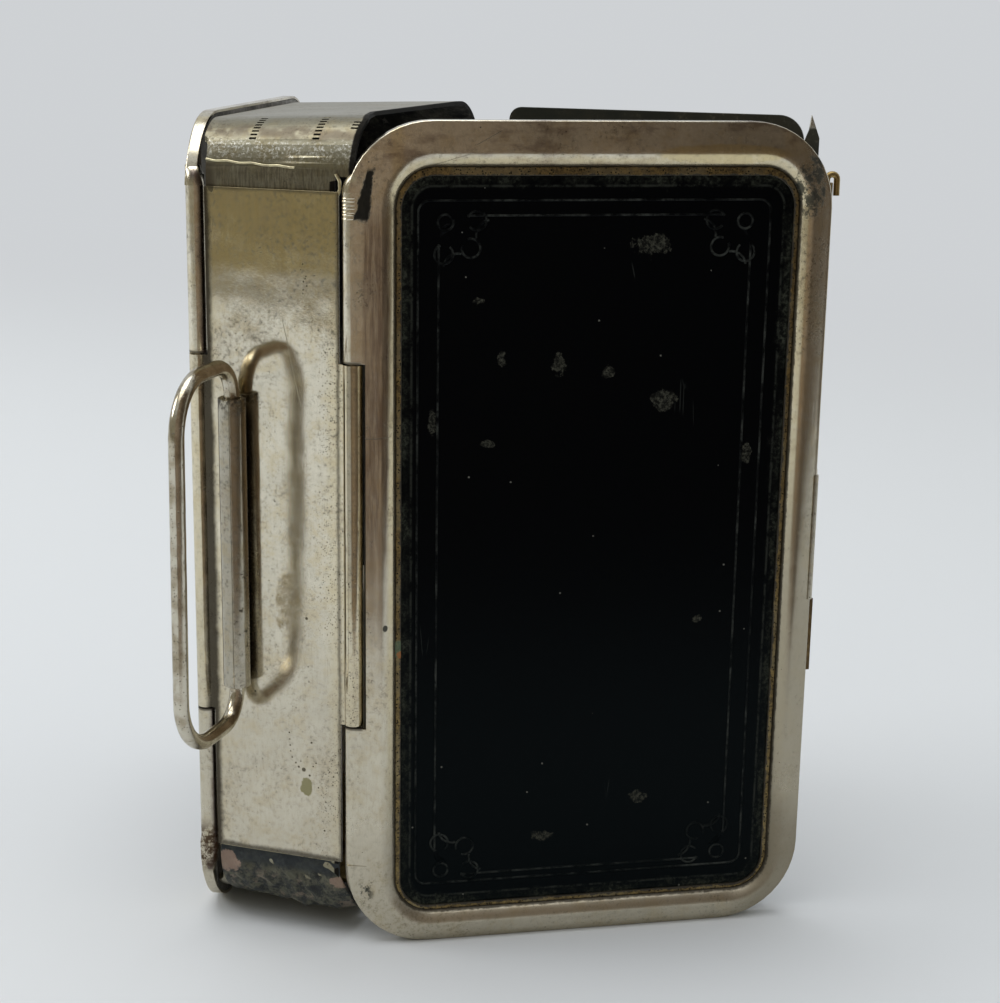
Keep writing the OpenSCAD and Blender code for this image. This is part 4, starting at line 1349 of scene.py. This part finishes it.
# Small pits of the hinge plate, each as its place across, its height and its radius
PLATE_DOTS = (
    (1.65, 28.0, 0.12), (1.7, 27.1, 0.1), (1.75, 26.3, 0.13), (1.8, 25.5, 0.1), (2.0, 24.7, 0.12), (2.5, 24.0, 0.13),
    (2.9, 23.5, 0.16), (3.6, 23.2, 0.3), (4.4, 22.5, 0.16), (4.9, 23.8, 0.12), (5.3, 24.3, 0.12), (4.7, 27.0, 0.15),
    (3.2, 24.3, 0.1), (4.1, 25.0, 0.08), (5.6, 21.0, 0.1), (6.4, 15.2, 0.14), (-3.0, 33.0, 0.14), (4.2, 43.5, 0.2),
)


def plate_stain(p):
    """Soft golden-brown stain beside the handle."""
    blot = p.noise(0.7, detail=7, roughness=0.75)
    return p.all_of(p.spot(p.v, (1.7, 45.0), (1.7, 4.2), 0.5, 0.4), p.step(blot, 0.34, 0.62), 0.75), (0.27, 0.21, 0.11), 0.1


def plate_haze(p):
    """Grey haze on the lower half of the hinge plate."""
    wavy = p.scale(p.noise(0.12, detail=6, roughness=0.7), -12, 12)
    return p.all_of(p.step(p.math("ADD", p.z, wavy), 58, 16), 0.42), (0.4, 0.36, 0.28), 0.1


def plate_marks(p):
    """Scratch, fleck and pits on the hinge plate."""
    fleck = p.all_of(p.spot(p.v, (4.0, 20.9), (0.75, 1.1), 1.1, 0.6), 0.85)
    column = p.all_of(p.pits(1.8, 0.28, 0.7), p.spot(p.v, (4.3, 85.8), (0.6, 2.4), 0.2, 0.8))
    hair = p.all_of(p.mark(p.v, (1.4, 81.0), (3.6, 71.0), 0.09), 0.7)
    dark = p.spot(p.v, (-7.8, 97.0), (0.5, 1.2), 0.4, 1.0)
    marks = p.any_of(column, hair, dark, p.dots(p.v, PLATE_DOTS))
    return p.any_of(fleck, p.all_of(marks, 0.85)), p.mix(marks, (0.24, 0.22, 0.1), (0.06, 0.05, 0.03)), 0.3


def plate_crowd(p):
    """Fine dark specks crowded beside the front knuckle."""
    near = p.step(p.math("ADD", p.v, p.scale(p.noise(0.3, detail=4), -2, 2)), 4.6, 7.4)
    fine = p.any_of(p.pits(4.2, 0.36, 0.5), p.pits(2.0, 0.26, 0.4))
    return p.all_of(fine, near, p.step(p.noise(0.12, detail=3), 0.4, 0.56), 0.8), (0.05, 0.04, 0.025), 0.2


class LANTERN_OT_hinge_plate(bpy.types.Operator):
    """Makes the plate over the spine with its middle knuckles, the solder along it and the hinge pins"""

    bl_idname = "lantern.hinge_plate"
    bl_label = "Hinge plate"

    def execute(self, context):
        stains_and_shades = (plate_haze, plate_shade, plate_stain, plate_marks, plate_crowd)
        nickel = worn_nickel("plate nickel", CASE, rough=0.075, wear=1.1, golden=plate_gold, stains_and_shades=stains_and_shades)
        smooth_copy("hinge_plate", "spine_plate", nickel, "nickel", bevel=0.08)
        steel = bent_wire("pin steel", CASE)
        for side in ("front", "back"):
            smooth_copy(f"{side}_hinge_pin", f"{side}_pin", steel, "wire", bevel=0.12)
        solder = old_solder("old solder", CASE)
        line = []
        for x in np.linspace(-8.6, 3.0, 48):
            z = 99.25 - 0.05 * x + 0.06 * math.sin(x * 1.9)
            rise = math.asin((z - (BAND_HIGH[2] - CASE_BEND)) / CASE_BEND)
            line.append(CASE.at(x, BAND_LOW[1] + CASE_BEND * (1 - math.cos(rise)) + 0.04, z))
        bead = wire("upper_solder", line, 0.15, solder, sides=10, step=0.2, uneven=0.22)
        hold(bead, "lantern_case", "nickel")
        torn = [CASE.at(x, BAND_LOW[1] - 0.12, z) for x, z in ((8.5, 95.9), (8.8, 96.9), (8.75, 97.8), (8.35, 98.6))]
        hold(wire("torn_solder", torn, 0.2, solder, sides=10, step=0.15, uneven=0.35), "lantern_case", "nickel")
        return {"FINISHED"}


class LANTERN_OT_crust(bpy.types.Operator):
    """Makes the crust of corrosion on the lower bend of the case"""

    bl_idname = "lantern.crust"
    bl_label = "Lower crust"

    def execute(self, context):
        rng = np.random.default_rng(11)
        columns, rows, bend = 130, 60, CASE_BEND
        waves = []
        for size in (0.7, 1.3, 2.2, 3.6):
            for _ in range(7):
                a, b = rng.normal(0, size, 2)
                waves.append((a, b, rng.uniform(0, 6.28), 1 / size**0.6))
        low_z = BAND_LOW[2]
        points = []
        for layer in (0, 1):
            for i in range(columns + 1):
                for j in range(rows + 1):
                    along = -1.35 + 12.4 * j / rows
                    end = 9.3 - 1.1 * min(max((3.5 - along) / 3, 0), 1)
                    x = -8.55 + (end + 8.55) * i / columns
                    rough = sum(w * math.sin(a * x + b * along + c) for a, b, c, w in waves) / 7
                    fade = min(1, 6 * j / rows, 5 * (1 - j / rows) + 0.3, 6 * i / columns + 0.2, 6 * (1 - i / columns) + 0.2)
                    lift = mm("crust") * fade * (0.85 + 1.25 * rough + 0.9 * max(along / 11, 0)) if layer else -0.2
                    reach = bend + max(lift, -0.2 + 0.001 * layer)
                    angle = max(along, 0) / bend
                    y = BAND_LOW[1] + bend - reach * math.cos(angle)
                    z = max(low_z + bend - reach * math.sin(angle) - min(along, 0), 0.05)
                    points.append(CASE.at(x, y, z))
        wide = rows + 1
        size = (columns + 1) * wide
        faces = []
        for i in range(columns):
            for j in range(rows):
                a, b = i * wide + j, (i + 1) * wide + j
                faces.append((a, b, b + 1, a + 1))
                faces.append((size + a, size + a + 1, size + b + 1, size + b))
        edge = [i * wide for i in range(columns + 1)] + [columns * wide + j for j in range(1, rows + 1)]
        edge += [i * wide + rows for i in range(columns - 1, -1, -1)] + [j for j in range(rows - 1, 0, -1)]
        for a, b in zip(edge, edge[1:] + edge[:1]):
            faces.append((a, b, size + b, size + a))
        crust = new_mesh("lower_crust", points, faces, [green_crust("green crust", CASE)], angle=60)
        hold(crust, "lantern_case", "roof_nickel")
        return {"FINISHED"}


class LANTERN_OT_handle(bpy.types.Operator):
    """Makes the rolled sleeve and the wire handle that turns in it"""

    bl_idname = "lantern.handle"
    bl_label = "Handle"

    def execute(self, context):
        dull = darker(tuple(finish().nickel), 0.6)
        nickel = worn_nickel("sleeve nickel", CASE, dull, rough=0.13, wear=1.3, stains_and_shades=(sleeve_stain,))
        smooth_copy("handle_sleeve", "sleeve_tube", nickel, "nickel", bevel=0.12)
        radius = (WIRE_HIGH[1] - WIRE_LOW[1]) / 2
        reach = WIRE_HIGH[0] - radius
        half = (WIRE_HIGH[2] - WIRE_LOW[2]) / 2 - radius
        middle = (WIRE_HIGH[2] + WIRE_LOW[2]) / 2
        inner_bend, outer_bend = 4.2, 6.8
        loop = []
        for sign, order in ((-1, 1), (1, -1)):
            near = arc_points((inner_bend, half - inner_bend), inner_bend, 180, 90)
            out = arc_points((reach - outer_bend, half - outer_bend), outer_bend, 90, 0)
            half_loop = [(v, sign * z) for v, z in near + out]
            loop += half_loop[::order]
        points = [HANDLE.at(v, 0.15 * math.sin(z * 0.11) * v / reach, middle + z) for v, z in loop]
        steel = bent_wire("handle wire", HANDLE)
        handle = wire("handle_loop", points, radius, steel, closed=True, sides=24, step=0.4, uneven=0.05)
        hold(handle, "handle", "wire", "wire_handle")
        return {"FINISHED"}


def sleeve_stain(p):
    """Soot at the sleeve's top and dark marks low on its free side."""
    blot = p.noise(0.9, detail=6, roughness=0.7)
    top = p.all_of(p.step(p.z, 68.5, 71.2), p.step(blot, 0.4, 0.6))
    side = p.all_of(p.band(p.z, 38, 52, 5), p.step(blot, 0.55, 0.66), p.step(p.v, -4.6, -3.4))
    return p.all_of(p.any_of(top, side), 0.9), (0.03, 0.025, 0.018), 0.3


class LANTERN_OT_candle(bpy.types.Operator):
    """Makes the candle, its wick, cup, tray and rivets"""

    bl_idname = "lantern.candle"
    bl_label = "Candle"

    def execute(self, context):
        brass = tarnished_brass("cup brass", CASE, clean=0.55)
        smooth_copy("candle_cup", "cup_shell", brass, "brass", bevel=0.08)
        smooth_copy("candle_tray", "tray_plate", brass, "brass", bevel=0.1)
        steel = worn_nickel("rivet nickel", CASE)
        smooth_copy("cup_rivets", "tray_rivets", steel, "nickel", bevel=0.12)
        x, y = (CANDLE_LOW[0] + CANDLE_HIGH[0]) / 2, (CANDLE_LOW[1] + CANDLE_HIGH[1]) / 2
        radius, low, high = (CANDLE_HIGH[0] - CANDLE_LOW[0]) / 2, CANDLE_LOW[2], CANDLE_HIGH[2]
        profile = [(0.2, low), (radius - 0.2, low), (radius, low + 0.3)]
        profile += [(radius, low + (high - low - 2) * k / 6) for k in range(1, 7)]
        profile += [(radius - 0.25, high - 1.0), (radius - 0.8, high - 0.3), (radius - 1.4, high - 0.35)]
        profile += [(radius - 2.4, high - 1.1), (radius - 3.8, high - 1.6), (0.7, high - 1.5), (0.2, high - 1.4)]
        wax = candle_wax("candle wax", CASE)
        hold(lathe("candle_stub", (x, y), profile, wax, uneven=0.25), "lantern_case", "wax", "candle")
        stem = [CASE.at(x + 0.35 * (k / 10) ** 2, y, WICK_LOW[2] + (WICK_HIGH[2] - WICK_LOW[2] - 0.1) * k / 10) for k in range(11)]
        black = charred_wick("charred wick", CASE)
        hold(wire("candle_wick", stem, 0.45, black, sides=12, step=0.3, uneven=0.2), "lantern_case", "wick", "wick")
        return {"FINISHED"}


class LANTERN_OT_window_leaf(bpy.types.Operator):
    """Finishes the window leaf with its mica, strip frame and knuckle"""

    bl_idname = "lantern.window_leaf"
    bl_label = "Window leaf"

    def execute(self, context):
        olive = olive_tin("leaf lacquer", LEAF)
        smooth_copy("leaf_frame", "leaf_plate", olive, "olive_tin", bevel=0.1)
        smooth_copy("leaf_retainer", "leaf_strip", olive, "olive_tin", bevel=0.08)
        smooth_copy("leaf_mica", "mica_pane", smoky_mica("smoky mica", LEAF), "mica")
        nickel = worn_nickel("leaf knuckle nickel", LEAF, rough=0.2)
        smooth_copy("leaf_knuckle", "leaf_roll", nickel, "nickel", bevel=0.06)
        return {"FINISHED"}


class LANTERN_OT_leaf_hinge(bpy.types.Operator):
    """Makes the brass strap, the bent wire pin and the pointed tab at the cover's free edge"""

    bl_idname = "lantern.leaf_hinge"
    bl_label = "Leaf hinge"

    def execute(self, context):
        brass = tarnished_brass("strap brass", FRONT, clean=0.42)
        smooth_copy("leaf_hinge_strap", "brass_strap", brass, "brass", bevel=0.06)
        radius = 0.4
        axis_v, axis_u = LEAF_PIN_LOW[0] + radius, LEAF_PIN_LOW[1] + radius
        bend, top = 0.6, LEAF_PIN_HIGH[2] - radius
        end = LEAF_PIN_HIGH[1] - radius
        line = [(axis_u, LEAF_PIN_LOW[2]), (axis_u, top - bend - 4)]
        line += arc_points((axis_u + bend, top - bend), bend, 180, 90)
        line += arc_points((end - bend, top - bend), bend, 90, 0)
        line.append((end, top - bend - 2))
        points = [FRONT.at(axis_v, u, z) for u, z in line]
        pin = wire("leaf_pin", points, radius, tarnished_brass("pin brass", FRONT, clean=0.6), step=0.2, uneven=0.04)
        hold(pin, "front_cover", "brass", "leaf_hinge_pin")
        self.clip()
        olive = olive_tin("tab lacquer", FRONT, bright_above=COVER_HIGH[2] - 0.8)
        smooth_copy("corner_tab", "pointed_tab", olive, "olive_tin", bevel=0.05)
        return {"FINISHED"}

    def clip(self):
        """Sheet folded round the free edge in front of the leaf's knuckle, and the strap's lip below it"""
        low, high = extent("leaf_knuckle", FRONT)
        edge = COVER_HIGH[1]
        outer = [(edge - 0.4, 1.5), (edge - 0.1, 1.44), (edge + 0.14, 1.32), (edge + 0.28, 1.1), (edge + 0.3, -0.6)]
        inner = [(edge - 0.3, -0.6), (edge - 0.3, 1.1), (edge - 0.4, 1.2)]
        grey = worn_nickel("clip nickel", FRONT, darker(tuple(finish().nickel), 0.7), rough=0.25)
        piece = extruded("edge_clip", FRONT, outer + inner, low[2] + 0.1, high[2] - 0.1, [grey])
        hold(piece, "front_cover", "nickel")
        flat = [(edge - 0.4, -0.6), (edge + 1.0, -0.6), (edge + 1.0, -0.3), (edge - 0.4, -0.3)]
        brass = tarnished_brass("lip brass", FRONT, clean=0.3)
        piece = extruded("strap_lip", FRONT, flat, low[2] - 10.1, low[2] - 0.3, [brass])
        hold(piece, "front_cover", "brass")


CAMERA_PLACE = (97.397, -212.367, 118.03)
CAMERA_TURN = (75.6, -0.867, 18.05)
CAMERA_LENS = 69.30
FLOOR_FRONT, FLOOR_BACK, FLOOR_BEND, FLOOR_HALF, BACKDROP_TOP = -500, 900, 300, 1600, 1300
FLAG_FOOT = ((10, -140), (560, 170))
FLAG_TOP = 420


class LANTERN_OT_stage(bpy.types.Operator):
    """Sets the floor and backdrop, the soft studio light and the camera"""

    bl_idname = "lantern.stage"
    bl_label = "Stage"

    def execute(self, context):
        stage = context.scene.lantern_stage
        camera = bpy.data.objects.new("camera", bpy.data.cameras.new("camera"))
        camera.location = CASE.at(*CAMERA_PLACE)
        camera.rotation_euler = Euler([math.radians(a) for a in CAMERA_TURN], "XYZ")
        camera.data.lens = CAMERA_LENS
        context.scene.collection.objects.link(camera)
        context.scene.camera = camera
        context.scene.view_settings.view_transform = "Standard"
        bend = arc_points((FLOOR_BACK, FLOOR_BEND), FLOOR_BEND, -90, 0, 24)
        line = [(FLOOR_FRONT, 0), *bend, (FLOOR_BACK + FLOOR_BEND, BACKDROP_TOP)]
        self.sheet("sweep", [(y, z) for y, z in line], self.paper(stage.floor))
        self.flag(stage)
        self.lamp("overhead", (-200, -50, 1500), (0, 0, 0), 1300, stage.lamp)
        self.lamp("left", (-900, -260, 620), (0, 20, 50), 500, stage.lamp * 0.28)
        self.world(stage)
        return {"FINISHED"}

    def sheet(self, name, line, material):
        """Wide sheet along a line of (y, z) points"""
        points = [CASE.at(x, y, z) for x in (-FLOOR_HALF, FLOOR_HALF) for y, z in line]
        count = len(line)
        faces = [(i, count + i, count + i + 1, i + 1) for i in range(count - 1)]
        mesh = bpy.data.meshes.new(name)
        mesh.from_pydata([tuple(p) for p in points], [], faces)
        mesh.polygons.foreach_set("use_smooth", [True] * len(mesh.polygons))
        mesh.materials.append(material)
        made = bpy.data.objects.new(name, mesh)
        bpy.context.scene.collection.objects.link(made)
        return made

    def paper(self, colour):
        """Matte paper that catches shadows on the floor and is as pale as it is written further back"""
        material = bpy.data.materials.new("paper")
        material.use_nodes = True
        nodes, links = material.node_tree.nodes, material.node_tree.links
        shader = nodes["Principled BSDF"]
        shader.inputs["Base Color"].default_value = rgba(darker(tuple(colour), 1.14))
        shader.inputs["Roughness"].default_value = 0.9
        shader.inputs["Specular IOR Level"].default_value = 0.1
        place = nodes.new("ShaderNodeSeparateXYZ")
        links.new(nodes.new("ShaderNodeTexCoord").outputs["Object"], place.inputs[0])
        depth = nodes.new("ShaderNodeMapRange")
        depth.interpolation_type = "SMOOTHERSTEP"
        links.new(place.outputs[1], depth.inputs[0])
        for socket, number in zip(list(depth.inputs)[1:5], (0.12, 0.7, 0.0, 1.0)):
            socket.default_value = number
        ray = nodes.new("ShaderNodeLightPath")
        seen = nodes.new("ShaderNodeMath")
        seen.operation = "MAXIMUM"
        links.new(ray.outputs["Is Camera Ray"], seen.inputs[0])
        links.new(ray.outputs["Is Glossy Ray"], seen.inputs[1])
        through = nodes.new("ShaderNodeMath")
        through.operation = "MAXIMUM"
        links.new(seen.outputs[0], through.inputs[0])
        links.new(ray.outputs["Is Transmission Ray"], through.inputs[1])
        share = nodes.new("ShaderNodeMath")
        share.operation = "MULTIPLY"
        links.new(through.outputs[0], share.inputs[0])
        links.new(depth.outputs[0], share.inputs[1])
        glow = nodes.new("ShaderNodeEmission")
        glow.inputs["Color"].default_value = rgba(colour)
        mixed = nodes.new("ShaderNodeMixShader")
        links.new(share.outputs[0], mixed.inputs[0])
        links.new(shader.outputs[0], mixed.inputs[1])
        links.new(glow.outputs[0], mixed.inputs[2])
        links.new(mixed.outputs[0], nodes["Material Output"].inputs["Surface"])
        return material

    def flag(self, stage):
        """Dark card beside the camera, which the open cover mirrors"""
        material = bpy.data.materials.new("dark card")
        material.use_nodes = True
        nodes, links = material.node_tree.nodes, material.node_tree.links
        shader = nodes["Principled BSDF"]
        shader.inputs["Base Color"].default_value = (0, 0, 0, 1)
        shader.inputs["Specular IOR Level"].default_value = 0
        shader.inputs["Emission Strength"].default_value = 1
        where = nodes.new("ShaderNodeTexCoord").outputs["Object"]
        place = nodes.new("ShaderNodeSeparateXYZ")
        links.new(where, place.inputs[0])
        left = nodes.new("ShaderNodeMapRange")
        left.interpolation_type = "SMOOTHSTEP"
        links.new(place.outputs[0], left.inputs[0])
        for socket, number in zip(list(left.inputs)[1:5], (0.02, 0.15, 1.0, 0.0)):
            socket.default_value = number
        folds = nodes.new("ShaderNodeTexNoise")
        folds.inputs["Scale"].default_value = 9
        folds.inputs["Detail"].default_value = 3
        links.new(where, folds.inputs["Vector"])
        uneven = nodes.new("ShaderNodeMix")
        uneven.data_type = "RGBA"
        links.new(folds.outputs[0], uneven.inputs[0])
        uneven.inputs[6].default_value = rgba(darker(tuple(stage.flag), 0.5))
        uneven.inputs[7].default_value = rgba(darker(tuple(stage.flag), 1.6))
        colour = nodes.new("ShaderNodeMix")
        colour.data_type = "RGBA"
        links.new(left.outputs[0], colour.inputs[0])
        links.new(uneven.outputs[2], colour.inputs[6])
        colour.inputs[7].default_value = rgba(darker(tuple(stage.flag), 2.6))
        links.new(colour.outputs[2], shader.inputs["Emission Color"])
        points = [CASE.at(x, y, z) for z in (0, FLAG_TOP) for x, y in FLAG_FOOT]
        mesh = bpy.data.meshes.new("flag")
        mesh.from_pydata([tuple(p) for p in points], [], [(0, 1, 3, 2)])
        mesh.materials.append(material)
        card = bpy.data.objects.new("flag", mesh)
        bpy.context.scene.collection.objects.link(card)
        card.visible_camera = False
        card.visible_diffuse = False
        card.visible_shadow = False

    def lamp(self, name, place, target, size, power):
        data = bpy.data.lights.new(name, "AREA")
        data.shape = "DISK"
        data.size = size * MM
        data.energy = power
        lamp = bpy.data.objects.new(name, data)
        lamp.location = CASE.at(*place)
        lamp.rotation_euler = (CASE.at(*target) - lamp.location).to_track_quat("-Z", "Y").to_euler()
        bpy.context.scene.collection.objects.link(lamp)

    def world(self, stage):
        """Pale room behind the lantern and a dimmer one round the camera"""
        world = bpy.data.worlds.new("room")
        world.use_nodes = True
        bpy.context.scene.world = world
        nodes, links = world.node_tree.nodes, world.node_tree.links
        parts = nodes.new("ShaderNodeSeparateXYZ")
        links.new(nodes.new("ShaderNodeTexCoord").outputs["Generated"], parts.inputs[0])
        shares = []
        for axis, low, high in ((1, -0.1, 0.5), (2, 0.35, 0.95)):
            share = nodes.new("ShaderNodeMapRange")
            share.interpolation_type = "SMOOTHSTEP"
            links.new(parts.outputs[axis], share.inputs[0])
            for socket, number in zip(list(share.inputs)[1:5], (low, high, 0.0, 1.0)):
                socket.default_value = number
            shares.append(share.outputs[0])
        pale = nodes.new("ShaderNodeMath")
        pale.operation = "MAXIMUM"
        links.new(shares[0], pale.inputs[0])
        links.new(shares[1], pale.inputs[1])
        colour = nodes.new("ShaderNodeMix")
        colour.data_type = "RGBA"
        links.new(pale.outputs[0], colour.inputs[0])
        colour.inputs[6].default_value = rgba(stage.room)
        colour.inputs[7].default_value = rgba(stage.floor)
        links.new(colour.outputs[2], nodes["Background"].inputs["Color"])


PIECES = (
    LANTERN_OT_stage,
    LANTERN_OT_cover_frames,
    LANTERN_OT_cover_panels,
    LANTERN_OT_linings,
    LANTERN_OT_case_band,
    LANTERN_OT_hinge_plate,
    LANTERN_OT_crust,
    LANTERN_OT_handle,
    LANTERN_OT_candle,
    LANTERN_OT_window_leaf,
    LANTERN_OT_leaf_hinge,
)


class LANTERN_PT_pieces(bpy.types.Panel):
    """Lists the lantern's sizes, colours and pieces"""

    bl_label = "Lantern"
    bl_idname = "LANTERN_PT_pieces"
    bl_space_type = "VIEW_3D"
    bl_region_type = "UI"
    bl_category = "Lantern"

    def draw(self, context):
        for group in (context.scene.lantern_shape, context.scene.lantern_finish, context.scene.lantern_stage):
            box = self.layout.box()
            for name in group.__annotations__:
                box.prop(group, name)
        for piece in PIECES:
            self.layout.operator(piece.bl_idname)


GROUPS = {"lantern_shape": LanternShape, "lantern_finish": LanternFinish, "lantern_stage": LanternStage}
CLASSES = (*GROUPS.values(), *PIECES, LANTERN_PT_pieces)


def register():
    for made in CLASSES:
        bpy.utils.register_class(made)
    for name, group in GROUPS.items():
        setattr(bpy.types.Scene, name, PointerProperty(type=group))


def unregister():
    for name in GROUPS:
        delattr(bpy.types.Scene, name)
    for made in reversed(CLASSES):
        bpy.utils.unregister_class(made)


def main():
    register()
    for piece in PIECES:
        group, name = piece.bl_idname.split(".")
        getattr(getattr(bpy.ops, group), name)()


if __name__ == "__main__":
    main()
